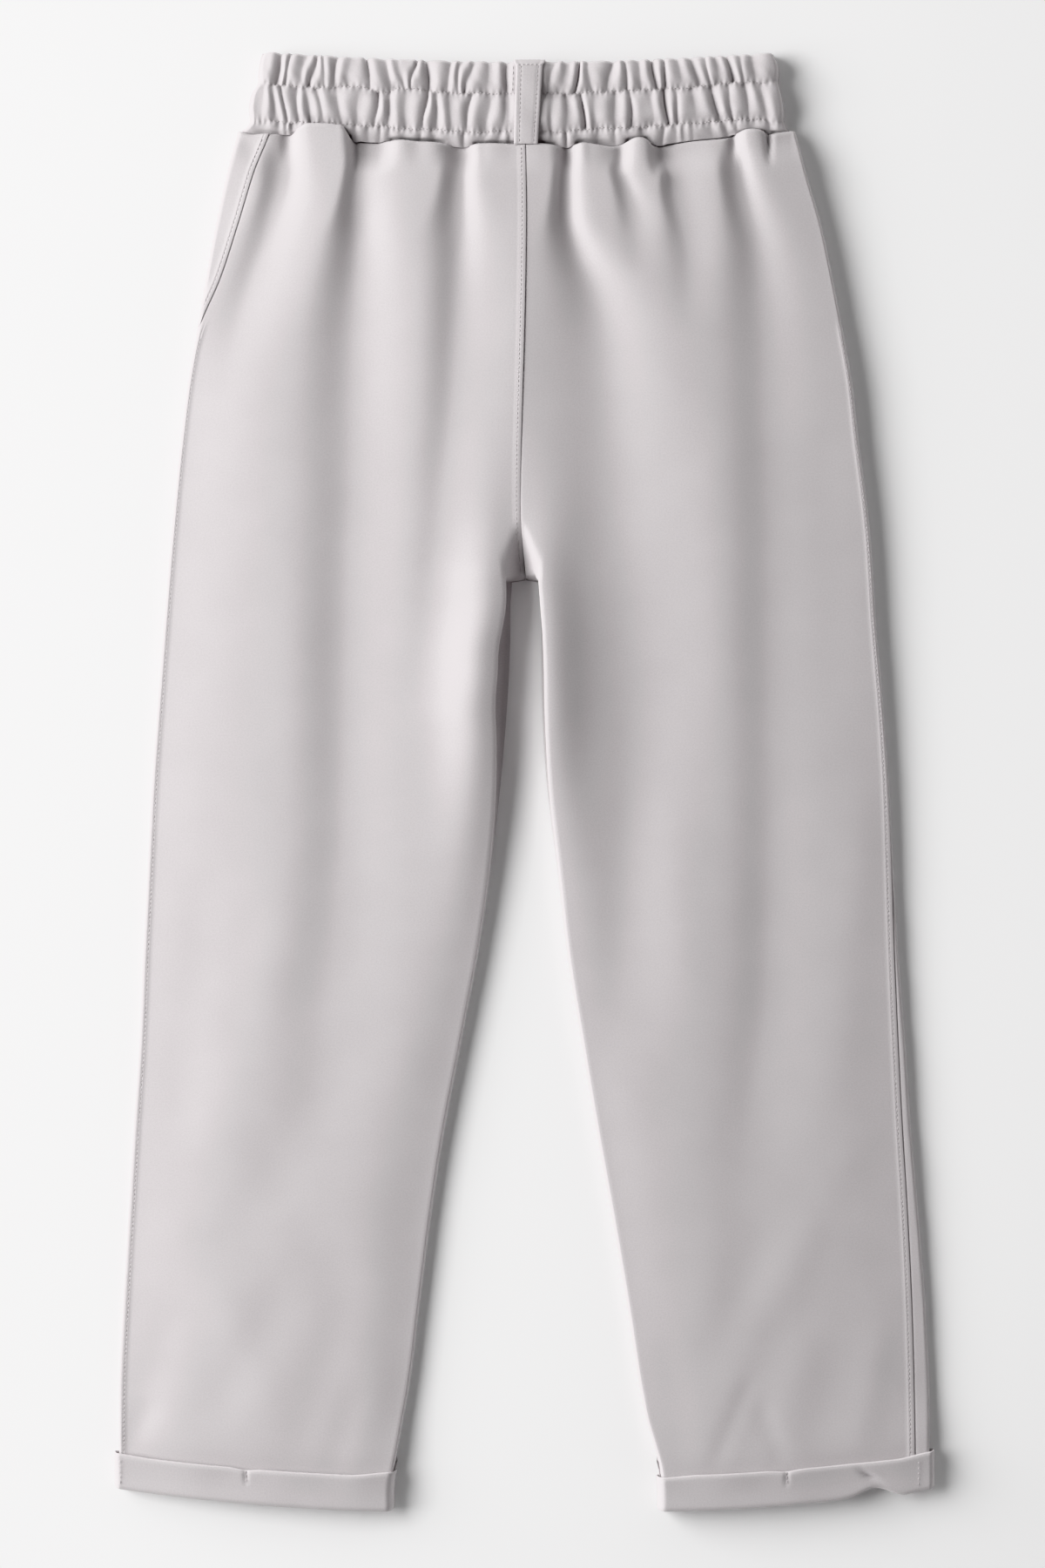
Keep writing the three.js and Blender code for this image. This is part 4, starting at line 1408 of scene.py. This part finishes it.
@dataclass
class BeltLoop:
    """A folded strip over the centre back, stitched down both sides and across its top."""

    finish: bpy.types.Material
    width: float = 18.0
    taper: float = 2.0
    centre: float = 2.9
    lean: float = 2.4
    wall: float = 1.5
    foot: float = -2.2  # its lower end is caught in the waist seam
    head: float = 53.9
    stitch_in: float = 3.2  # the stitch columns lie this far inside the edges

    def centre_at(self, rise: Array) -> Array:
        """Where the loop's middle lies at each height."""
        return self.centre - self.lean * (1 - rise / self.head)

    def half_at(self, rise: Array) -> Array:
        """Half of the loop's width at each height."""
        flare = 1.5 * ease((rise - self.head + 4) / 3)
        return (self.width - self.taper * (1 - rise / self.head)) / 2 + flare

    def height(self, share: Array, rise: Array) -> Array:
        """Height of the loop's face, a little crowned and drawn in along its stitching.

        Args:
            share: places across it, from -1 at one edge to 1 at the other.
            rise: heights above the waist seam.

        Returns:
            Heights above the ground.
        """
        places = [self.foot, 5, 20, 44, 51, self.head]
        base = np.interp(rise, places, [15.4, 16.6, 18.5, 18.6, 17.8, 15.2])
        inset = np.abs(share) * self.half_at(rise)
        groove = bell(inset - (self.half_at(rise) - self.stitch_in), 0.8)
        rolled = np.maximum(0, np.abs(share) - 0.9) / 0.1
        crown = 0.25 * (1 - share**2) + 0.12 * np.sin(rise / 5.3 + share * 2)
        cross = bell(rise - (self.head - 3.4), 0.8) * (np.abs(share) < 0.97)
        return base + crown - 0.2 * groove - 0.55 * rolled**2 - 0.18 * cross

    def build(self, band: Waistband) -> None:
        """Models the loop and its turned-down top, and dresses it.

        Args:
            band: the waistband that the loop lies on.
        """
        bend = self.head + np.array([0.9, 0.9, 0.8, 0.5])
        rise = np.concatenate([bend, np.linspace(self.head, self.foot, 56)])[:, None]
        drop = np.concatenate([[4.2, 2.6, 1.4, 0.5], np.zeros(56)])[:, None]
        edge = np.array([-1, -0.985, -0.95])
        share = np.concatenate([edge, np.linspace(-0.9, 0.9, 25), -edge[::-1]])[None, :]
        height = self.height(share, np.minimum(rise, self.head)) - drop
        x = self.centre_at(rise) + share * self.half_at(rise)
        points = GARMENT.place(x, GARMENT.join_up + rise, height)
        piece = sheet_from_grid("belt_loop", points, self.wall, Facing.UP)
        cloth = Cloth("trim_knit", (0.0178, 0.062), "laid", ("waist_casing_back",))
        cloth.hand_over(piece, self.finish, "belt_loop_back")


@dataclass
class TurnUp:
    """One turned-up hem: a doubled band folded up round the end of the leg."""

    side: Side
    finish: bpy.types.Material
    fold: float = 3.0
    flare: float = 1.3
    end_roll: float = 2.8  # radius of the band's flattened inner end
    side_share: float = 0.9  # of the leg's rolled side, for the band's outer end

    def _loop(self, up: float, count: int = 150) -> tuple[Array, Array, Array, Array]:
        """Stations round the leg at one height, with the way that each faces.

        Args:
            up: the height.
            count: stations along the top; the underside has half as many.

        Returns:
            The distance out, the height, and the outward directions across and up.
        """
        cut = GARMENT.cut(self.side, [up])
        out, edge, roll, inner = (v.item() for v in (cut.out, cut.edge, cut.roll, cut.inner))
        roll = roll * self.side_share
        ridge, under = self.end_roll, GARMENT.under_roll
        low = GARMENT.hem_lift(np.array(up)).item()
        foot = GARMENT.inseam_height(np.array(up)).item()

        def top(where: Array) -> Array:
            """Height of the leg's upper face, read above the band's own fold."""
            return GARMENT.lie(self.side.value * where, np.full_like(where, max(up, 20.0)))

        rounds = (
            (0, 90, 10, out - roll, roll, edge, None, 1, 1),
            (90, 0, 9, inner + ridge, -ridge, edge, None, -1, 1),
            (0, 90, 7, inner + under, -under, foot, low, -1, -1),
            (90, 8, 7, out - under, under, edge, low, 1, -1),
        )
        made = []
        for start, end, number, centre, radius, base, level, across, rise in rounds:
            angle = np.radians(np.linspace(start, end, number))
            where = centre + radius * np.cos(angle)
            height = top(where) if level is None else level
            z = mix(base, height, np.sin(angle))
            made.append(np.stack([where, z, across * np.cos(angle), rise * np.sin(angle)]))
        flat_top = np.linspace(out - roll, inner + ridge, count)[1:-1]
        over = np.stack([flat_top, top(flat_top), 0 * flat_top, 1 + 0 * flat_top])
        flat_low = np.linspace(inner + under, out - under, count // 2)[1:-1]
        below = np.stack([flat_low, low + 0 * flat_low, 0 * flat_low, -1 + 0 * flat_low])
        return tuple(np.concatenate([made[0], over, made[1], made[2], below, made[3]], axis=1))

    def profile(self) -> list[tuple[float, float]]:
        """The band's section: distance off the leg's face and height, all the way round it.

        Returns:
            Pairs of distance and height.
        """
        gap, wall = GARMENT.turn_gap, GARMENT.turn_wall
        outside = gap + wall
        top = GARMENT.turn_up
        return [
            (outside + self.flare - 0.5, top),
            (outside + self.flare, top - 0.8),
            (outside + self.flare * 0.9, top - 3),
            (outside + self.flare * 0.7, top * 0.8),
            (outside + self.flare * 0.45, top * 0.7),
            (outside + self.flare * 0.3, top * 0.6),
            (outside + self.flare * 0.2, top * 0.52),
            (outside + 0.15, top * 0.45),
            (outside + 0.12, top * 0.34),
            (outside + 0.1, top * 0.22),
            (outside + 0.08, top * 0.16),
            (outside, 3),
            (outside - 0.35, 1.4),
            (outside * 0.6, 0.55),
            (outside * 0.2, 0.3),
            (-0.5, 0.4),
            (-GARMENT.solid_knit * 0.85, 1.1),
            (-GARMENT.solid_knit, 2.2),
            (-GARMENT.solid_knit, self.fold),
            (gap, self.fold),
            (gap, 8),
            (gap, top * 0.5),
            (gap + self.flare * 0.5, top * 0.75),
            (gap + self.flare, top - 1),
            (gap + self.flare + 0.4, top - 0.2),
            (gap + self.flare + 1.2, top + 0.1),
        ]

    def points(self) -> Array:
        """The whole surface, one closed section at each station.

        Returns:
            Points of the frame, one row for each station round the leg.
        """
        sign = self.side.value
        lowest = GARMENT.hem_lift(np.array(0.0)).item()
        rings = []
        for stand, up in self.profile():
            out, z, across, rise = self._loop(up)
            off = np.where(rise < 0, min(stand, lowest), stand)
            wave = self._wave(sign * out)
            place_out = out + across * np.minimum(stand, GARMENT.turn_gap + GARMENT.turn_wall)
            height = z + rise * off + wave * (rise > 0.5) * ease(up / GARMENT.turn_up)
            height = height - self._crease(sign * out, up) * (rise > 0.5)
            dip = self._dip(sign * out, rise) * ease(up / GARMENT.turn_up)
            lift = self._end_lift(out) * ease(up / GARMENT.turn_up)
            rings.append(GARMENT.place(sign * place_out, up - dip + lift, height))
        return np.stack(rings, axis=1)

    def face(self, x: Array, up: Array) -> Array:
        """Height of the band's outer face near its outer end.

        Args:
            x: distances from the centre seam.
            up: distances up the garment.

        Returns:
            Heights above the ground.
        """
        cut = GARMENT.cut(self.side, up)
        roll = cut.roll[:, 0] * self.side_share
        past = np.clip((np.abs(x) - (cut.out[:, 0] - roll)) / roll, 0, 0.98)
        round_end = np.sqrt(1 - past**2)
        level = GARMENT.lie(np.sign(x) * np.minimum(np.abs(x), cut.out[:, 0] - roll), np.maximum(up, 20))
        stand = GARMENT.turn_gap + GARMENT.turn_wall + 0.15 + self.flare * ease(up / GARMENT.turn_up)
        wave = self._wave(x) * ease(up / GARMENT.turn_up)
        sunk = self._crease(x, up)
        return mix(cut.edge[:, 0], level + wave - sunk, round_end) + stand * round_end

    def _wave(self, x: Array) -> Array:
        """How the free edge stands off the leg, unevenly along it."""
        return 0.5 + 0.45 * np.sin(x / 21 + 1.2) + 0.25 * np.sin(x / 9.3)

    def _dip(self, x: Array, rise: Array) -> Array:
        """The free edge is caught down a little at its tack."""
        return 1.2 * bell(x - self.tack(), 7) * (rise > 0.5)

    def seam(self) -> float:
        """Where across the garment the side seam's stitches show on the band."""
        return -271.5 if self.side is Side.LEFT else 263.5

    def tack(self) -> float:
        """Where across the garment the band is tacked to its leg."""
        return -187.0 if self.side is Side.LEFT else 175.0

    def _end_lift(self, out: Array) -> Array:
        """The free edge runs a little higher at both ends of the band."""
        inner, outer = (2.2, 0.9) if self.side is Side.LEFT else (-1.6, 2.6)
        return inner * ease((118 - out) / 28) + outer * ease((out - 248) / 24)

    def _crease(self, x: Array, up: Array | float) -> Array:
        """Depth of the pinch at the tack, and of the short slanting crease above the right's kink.

        Args:
            x: distances from the centre seam.
            up: distances up the garment.

        Returns:
            Depths to take from the band's face.
        """
        pinch = 0.9 * bell(x - self.tack(), 1.6) * ease((up - 13) / 7)
        if self.side is Side.LEFT:
            return pinch
        along = ((x - 226) + (18 - up)) / 2
        across = ((x - 226) - (18 - up)) / 1.4
        return pinch + 2.0 * bell(across, 2.0) * bell(along - 4, 6)

    def build(self) -> None:
        """Models the band from a ring primitive, and dresses it."""
        points = self.points()
        stations, around = points.shape[:2]
        deselect()
        bpy.ops.mesh.primitive_torus_add(
            major_segments=stations, minor_segments=around, major_radius=1, minor_radius=0.25
        )
        piece = bpy.context.object
        piece.name = f"turned_up_hem_{self.side.word}"
        piece.data.name = piece.name
        at = np.empty(len(piece.data.vertices) * 3)
        piece.data.vertices.foreach_get("co", at)
        at = at.reshape(-1, 3)
        big = np.arctan2(at[:, 1], at[:, 0]) / (2 * math.pi)
        small = np.arctan2(at[:, 2], np.hypot(at[:, 0], at[:, 1]) - 1) / (2 * math.pi)
        station = np.rint(big * stations).astype(int) % stations
        place = np.rint(small * around).astype(int) % around
        write_points(piece, points[station, place])
        write_uv(piece, grid_uv(points)[station, place])
        bpy.ops.object.mode_set(mode="EDIT")
        bpy.ops.mesh.select_all(action="SELECT")
        bpy.ops.mesh.normals_make_consistent(inside=False)
        bpy.ops.object.mode_set(mode="OBJECT")
        cloth = Cloth("trim_knit", (0.385, 0.036), "folded", (f"back_leg_{self.side.word}",))
        cloth.hand_over(piece, self.finish, f"turn_up_{self.side.word}")


@dataclass
class Stitching:
    """Rows of short thread bars, all copied from one bar that is modelled once."""

    finish: bpy.types.Material
    length: float = 2.2
    thick: float = 0.42

    def __post_init__(self) -> None:
        """Models the one bar: a short prism whose ends are drawn in."""
        deselect()
        bpy.ops.mesh.primitive_cylinder_add(vertices=6, radius=0.5, depth=0.6)
        bar = bpy.context.object
        bpy.ops.object.mode_set(mode="EDIT")
        bpy.ops.mesh.select_all(action="DESELECT")
        bpy.ops.object.mode_set(mode="OBJECT")
        for face in bar.data.polygons:
            face.select = abs(face.normal.z) > 0.9
        bpy.ops.object.mode_set(mode="EDIT")
        bpy.ops.mesh.select_mode(type="FACE")
        bpy.ops.mesh.extrude_region()
        bpy.ops.transform.resize(value=(0.45, 0.45, 1.667))
        bpy.ops.object.mode_set(mode="OBJECT")
        mesh = bar.data
        self.corners = np.array([v.co for v in mesh.vertices])
        self.faces = [list(p.vertices) for p in mesh.polygons]
        bpy.data.objects.remove(bar)

    def sew(self, name: str, starts: Array, ends: Array, normals: Array) -> bpy.types.Object:
        """Lays one bar from each start to its end.

        Args:
            name: the row's name.
            starts: the bars' first ends, in metres.
            ends: their other ends.
            normals: the way that the cloth faces at each.

        Returns:
            One piece with all the bars.
        """
        way = ends - starts
        length = np.linalg.norm(way, axis=1, keepdims=True)
        way = way / length
        normals = normals - (normals * way).sum(axis=1, keepdims=True) * way
        normals /= np.linalg.norm(normals, axis=1, keepdims=True)
        across = np.cross(way, normals)
        middle = (starts + ends) / 2
        corners = self.corners
        arch = (1 - (2 * np.abs(corners[:, 2])) ** 2) * 0.12 * MM
        points = (
            middle[:, None]
            + corners[None, :, 2:3] * (way * length)[:, None]
            + corners[None, :, 0:1] * self.thick * MM * across[:, None]
            + (corners[None, :, 1:2] * self.thick * MM + arch[None, :, None]) * normals[:, None]
        )
        count = len(starts)
        size = len(corners)
        faces = [[v + size * n for v in face] for n in range(count) for face in self.faces]
        mesh = bpy.data.meshes.new(name)
        mesh.from_pydata(points.reshape(-1, 3), [], faces)
        piece = bpy.data.objects.new(name, mesh)
        bpy.context.collection.objects.link(piece)
        dress(piece, self.finish)
        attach(piece, "root")
        log.info("%s: %d stitches", name, count)
        return piece

    def run(self, name: str, path: Array, normals: Array, pitch: float) -> bpy.types.Object:
        """Sews evenly along a path.

        Args:
            name: the row's name.
            path: points on the cloth, in metres.
            normals: the way that the cloth faces at each.
            pitch: distance from one stitch to the next, in millimetres.

        Returns:
            The row of stitches.
        """
        gone = np.concatenate([[0], np.cumsum(np.linalg.norm(np.diff(path, axis=0), axis=1))])
        count = int(gone[-1] / (pitch * MM))
        at = (np.arange(count) + 0.5) * gone[-1] / count

        def read(values: Array, where: Array) -> Array:
            """The path's values at distances along it."""
            return np.stack([np.interp(where, gone, column) for column in values.T], axis=1)

        half = self.length * MM / 2
        return self.sew(name, read(path, at - half), read(path, at + half), read(normals, at))


def surface_normals(points: Array) -> Array:
    """The way that the cloth faces along the middle line of three neighbouring lines of points.

    Args:
        points: three neighbouring lines of points.

    Returns:
        One direction for each point of the middle line, upwards on the whole.
    """
    along = np.gradient(points[1], axis=0)
    across = points[2] - points[0]
    normal = np.cross(along, across)
    normal /= np.linalg.norm(normal, axis=1, keepdims=True)
    return normal * np.sign(normal[:, 2:3] + 1e-9)


@dataclass
class Sewing:
    """Every visible row of stitches on the garment."""

    stitching: Stitching
    proud: float = 0.1  # the thread's middle stands this far above its dent in the cloth
    pitch: float = 3.05
    band_pitch: float = 2.6
    tack_pitch: float = 2.3
    beside: float = 0.4  # the cloth's slope is read this far either side of a row

    def row(self, name: str, at: Callable[[float], Array], pitch: float) -> None:
        """Sews one row, with its stitches square to the cloth.

        Args:
            name: the row's name.
            at: gives the row's points when it is moved sideways by a small distance.
            pitch: distance from one stitch to the next, in millimetres.
        """
        lines = [at(aside) for aside in (-self.beside, 0.0, self.beside)]
        self.stitching.run(name, lines[1], surface_normals(lines), pitch)

    def centre_back(self, leg: Leg) -> None:
        """The topstitching to the left of the centre-back seam.

        Args:
            leg: the side's pieces.
        """
        up = np.linspace(GARMENT.join_up - 4, GARMENT.crotch_up + 4, 300)

        def at(aside: float) -> Array:
            """The row's points, on the welt beside the seam.

            Args:
                aside: how far to one side of the row.

            Returns:
                Points of the frame, in metres.
            """
            x = np.full_like(up, aside - leg.welt)
            z = GARMENT.lie(x, up) - GARMENT.hollow(x, up) + leg.sewn(leg.welt - aside)
            return GARMENT.place(x, up, z + self.proud)

        self.row("topstitch_centre_back", at, self.pitch)

    def beside_seam(self, name: str, leg: Leg, up: Array, way: int) -> None:
        """Sews a row beside a side seam, on the back panel or on the pocket facing.

        Args:
            name: the row's name.
            leg: the side's pieces.
            up: heights down the row.
            way: 1 on the back panel, and -1 on the facing.
        """
        cut = GARMENT.cut(leg.side, up)

        def at(aside: float) -> Array:
            """The row's points, on the welt beside the seam.

            Args:
                aside: how far to one side of the row.

            Returns:
                Points of the frame, in metres.
            """
            out, z = GARMENT.round_side(cut, cut.seam + way * leg.welt + aside)
            height = z + leg.sewn(leg.welt + way * aside) + self.proud
            return GARMENT.place(leg.side.value * out, cut.up, height)[:, 0]

        self.row(f"{name}_{leg.side.word}", at, self.pitch)

    def side_seam(self, leg: Leg) -> None:
        """The topstitching along the back panel's side seam, from under the pocket to the hem."""
        up = np.linspace(leg.pocket_foot - 8, GARMENT.turn_up + 2, 400)
        self.beside_seam("topstitch_side", leg, up, 1)

    def pocket(self, leg: Leg) -> None:
        """The topstitching on the pocket facing, beside the pocket seam."""
        up = np.linspace(GARMENT.join_up - 5, leg.pocket_foot + 10, 160)
        self.beside_seam("topstitch_pocket", leg, up, -1)

    def on_band(
        self, name: str, band: Waistband, x: Array, rise: Array, ways: tuple[int, int], pitch: float
    ) -> None:
        """Sews a row on the waistband.

        Args:
            name: the row's name.
            band: the waistband.
            x: distances across it.
            rise: heights above its seam.
            ways: how far the row moves across and up for each millimetre aside.
            pitch: distance from one stitch to the next, in millimetres.
        """

        def at(aside: float) -> Array:
            """The row's points on the gathered cloth.

            Args:
                aside: how far to one side of the row.

            Returns:
                Points of the frame, in metres.
            """
            across, level = x + ways[0] * aside, rise + ways[1] * aside
            z = band.surface(across, level) + self.proud
            return GARMENT.place(across, GARMENT.join_up + level + band.shift(across, level), z)

        self.row(name, at, pitch)

    def casing(self, band: Waistband, loop: BeltLoop) -> None:
        """Both stitch rows of the waistband, left and right of the belt loop.

        Args:
            band: the waistband.
            loop: the belt loop.
        """
        reach = loop.width / 2 + 0.3
        for row, rise in (("low", band.row_low), ("high", band.row_high)):
            for half, start, end in (
                ("left", -172.0, loop.centre - reach),
                ("right", loop.centre + reach, 161.0),
            ):
                x = np.linspace(start, end, 700)
                level = np.full_like(x, rise)
                self.on_band(f"casing_row_{row}_{half}", band, x, level, (0, 1), self.band_pitch)

    def on_loop(
        self, name: str, loop: BeltLoop, inset: Array, rise: Array, ways: tuple[int, int]
    ) -> None:
        """Sews a row on the belt loop.

        Args:
            name: the row's name.
            loop: the belt loop.
            inset: distances from the loop's middle line.
            rise: heights above the waistband's seam.
            ways: how far the row moves across and up for each millimetre aside.
        """

        def at(aside: float) -> Array:
            """The row's points on the loop's face.

            Args:
                aside: how far to one side of the row.

            Returns:
                Points of the frame, in metres.
            """
            across, level = inset + ways[0] * aside, rise + ways[1] * aside
            z = loop.height(across / loop.half_at(level), level) + self.proud
            return GARMENT.place(loop.centre_at(level) + across, GARMENT.join_up + level, z)

        self.row(name, at, self.pitch if ways[0] else self.band_pitch)

    def belt_loop(self, band: Waistband, loop: BeltLoop) -> None:
        """Two columns down the belt loop, a row across its top, and a short one beside it.

        Args:
            band: the waistband.
            loop: the belt loop.
        """
        rise = np.linspace(loop.head - 3.4, loop.foot + 1, 80)
        for word, sign in (("left", -1), ("right", 1)):
            inset = sign * (loop.half_at(rise) - loop.stitch_in)
            self.on_loop(f"loop_column_{word}", loop, inset, rise, (1, 0))
        level = np.full(40, loop.head - 3.4)
        inset = np.linspace(-0.95, 0.95, 40) * loop.half_at(level)
        self.on_loop("loop_head", loop, inset, level, (0, 1))
        rise = np.linspace(band.row_high + 1, loop.head - 3.5, 60)
        x = loop.centre_at(rise) - loop.half_at(rise) - 1.9
        self.on_band("loop_side_row", band, x, rise, (1, 0), self.pitch)

    def on_hem(self, name: str, hem: TurnUp, x: float, up: Array, proud: float, pitch: float) -> None:
        """Sews a short column on a turned-up hem.

        Args:
            name: the row's name.
            hem: the hem.
            x: how far across the garment the column is.
            up: heights down the column.
            proud: how far the thread's middle stands above the cloth.
            pitch: distance from one stitch to the next, in millimetres.
        """

        def at(aside: float) -> Array:
            """The column's points on the hem's face."""
            across = np.full_like(up, x + aside)
            return GARMENT.place(across, up, hem.face(across, up) + proud)

        self.row(f"{name}_{hem.side.word}", at, pitch)

    def tacks(self, hems: list[TurnUp]) -> None:
        """The short bars that hold each turned-up hem to its leg.

        Args:
            hems: both turned-up hems.
        """
        up = np.linspace(GARMENT.turn_up - 0.8, GARMENT.turn_up - 9.5, 12)
        for hem in hems:
            self.on_hem("hem_tack", hem, hem.tack(), up, self.proud, self.tack_pitch)

    def hem_columns(self, hems: list[TurnUp]) -> None:
        """The side seams' topstitching, where it shows on the turned-up hems.

        Args:
            hems: both turned-up hems.
        """
        up = np.linspace(GARMENT.turn_up - 2.5, 4.0, 30)
        for hem in hems:
            self.on_hem("hem_column", hem, hem.seam(), up, 2 * self.proud, self.pitch)


@dataclass
class Studio:
    """A pale floor, a wide soft light from the upper left, and the camera straight above."""

    frame_height: float = 1053.0  # millimetres of floor that the photograph shows down its length
    centre_x: float = 1.8  # the picture's middle lies this far left of the centre seam
    centre_y: float = -1.5
    lens: float = 85.0
    sensor: float = 36.0
    floor_width: float = 90.0  # metres, so that no edge of it is in sight
    level: float = 7.0  # the height above the ground that is shown at that size
    sky: float = 1.78
    ceiling: float = 0.0  # the light from straight above, as a share of the sky's
    ring_low: float = 0.3  # the sky is even up to here, as the sine of the height
    ring_high: float = 0.66  # and as dark as the ceiling from here
    far_share: float = 0.66  # the sky's strength away from the lamp, as a share of that beside it
    sky_from: float = 48.0  # degrees round from the left towards the waist, where it is strongest
    key: float = 0.8
    key_distance: float = 2.6  # metres
    key_width: float = 2.6  # metres
    key_height: float = 28.0  # degrees above the ground
    key_from: float = 12.0  # degrees round from the left towards the waist

    def floor(self) -> None:
        """A plain floor just under the garment."""
        deselect()
        bpy.ops.mesh.primitive_plane_add(size=self.floor_width, location=(0, 0, 0))
        floor = bpy.context.object
        floor.name = "floor"
        for vertex in floor.data.vertices:
            vertex.co.z = -0.0004
        floor.data.materials.append(FloorFinish().material())

    def light(self) -> None:
        """Light all round with a dark ceiling, and a large lamp that falls off across the garment."""
        world = bpy.data.worlds.new("studio")
        bpy.context.scene.world = world
        world.use_nodes = True
        nodes, links = world.node_tree.nodes, world.node_tree.links
        place = nodes.new("ShaderNodeTexCoord")
        split = nodes.new("ShaderNodeSeparateXYZ")
        links.new(place.outputs["Generated"], split.inputs["Vector"])
        white = (1.0, 1.0, 1.0)
        ceiling = shaded(white, self.ceiling)
        ring = ramp(nodes, (self.ring_low, shaded(white)), (self.ring_high, ceiling))
        links.new(split.outputs["Z"], ring.inputs["Fac"])
        links.new(ring.outputs["Color"], nodes["Background"].inputs["Color"])
        brightest = math.radians(self.sky_from)
        towards = nodes.new("ShaderNodeVectorMath")
        towards.operation = "DOT_PRODUCT"
        towards.inputs[1].default_value = (-math.cos(brightest), math.sin(brightest), 0)
        links.new(place.outputs["Generated"], towards.inputs[0])
        strength = nodes.new("ShaderNodeMapRange")
        strength.inputs["From Min"].default_value = -0.8
        strength.inputs["From Max"].default_value = 0.5
        strength.inputs["To Min"].default_value = self.sky * self.far_share
        strength.inputs["To Max"].default_value = self.sky
        links.new(towards.outputs["Value"], strength.inputs["Value"])
        links.new(strength.outputs["Result"], nodes["Background"].inputs["Strength"])
        height = math.radians(self.key_height)
        round_from = math.radians(self.key_from)
        way = Vector(
            (
                -math.cos(height) * math.cos(round_from),
                math.cos(height) * math.sin(round_from),
                math.sin(height),
            )
        )
        deselect()
        bpy.ops.object.light_add(type="AREA", location=way * self.key_distance)
        lamp = bpy.context.object
        lamp.data.shape = "DISK"
        lamp.data.size = self.key_width
        lamp.data.energy = self.key * 4 * (math.pi * self.key_distance) ** 2 / math.sin(height) / math.pi
        lamp.rotation_mode = "QUATERNION"
        lamp.rotation_quaternion = (-way).to_track_quat("-Z", "Y")

    def camera(self) -> None:
        """Looks straight down, with the waist at the top of the picture."""
        distance = self.frame_height / 2 / (self.sensor / 2 / self.lens) + self.level
        x = (GARMENT.seam_x() - self.centre_x) * MM
        deselect()
        bpy.ops.object.camera_add(location=(x, self.centre_y * MM, distance * MM), rotation=(0, 0, 0))
        camera = bpy.context.object
        camera.data.lens = self.lens
        camera.data.sensor_width = self.sensor
        camera.data.clip_end = 50
        bpy.context.scene.camera = camera

    def build(self) -> None:
        """Sets the whole studio up, with a neutral view of the colours."""
        bpy.context.scene.view_settings.view_transform = "Khronos PBR Neutral"
        self.floor()
        self.light()
        self.camera()


def main() -> None:
    """Builds the garment piece by piece, and then the studio."""
    logging.basicConfig(level=logging.INFO, format="%(name)s %(message)s")
    knit = KnitFinish().material()
    band_knit = KnitFinish(name="waistband_knit", colour=(0.52, 0.492, 0.5)).material()
    trim_knit = KnitFinish(name="trim_knit", colour=(0.53, 0.502, 0.51)).material()
    legs = [Leg(side, knit) for side in Side]
    for leg in legs:
        leg.build()
    band = Waistband(band_knit)
    band.build()
    loop = BeltLoop(trim_knit)
    loop.build(band)
    hems = [TurnUp(side, trim_knit) for side in Side]
    for hem in hems:
        hem.build()
    sewing = Sewing(Stitching(ThreadFinish().material()))
    sewing.centre_back(legs[0])
    for leg in legs:
        sewing.side_seam(leg)
        sewing.pocket(leg)
    sewing.casing(band, loop)
    sewing.belt_loop(band, loop)
    sewing.tacks(hems)
    sewing.hem_columns(hems)
    Studio().build()


if __name__ == "__main__":
    main()
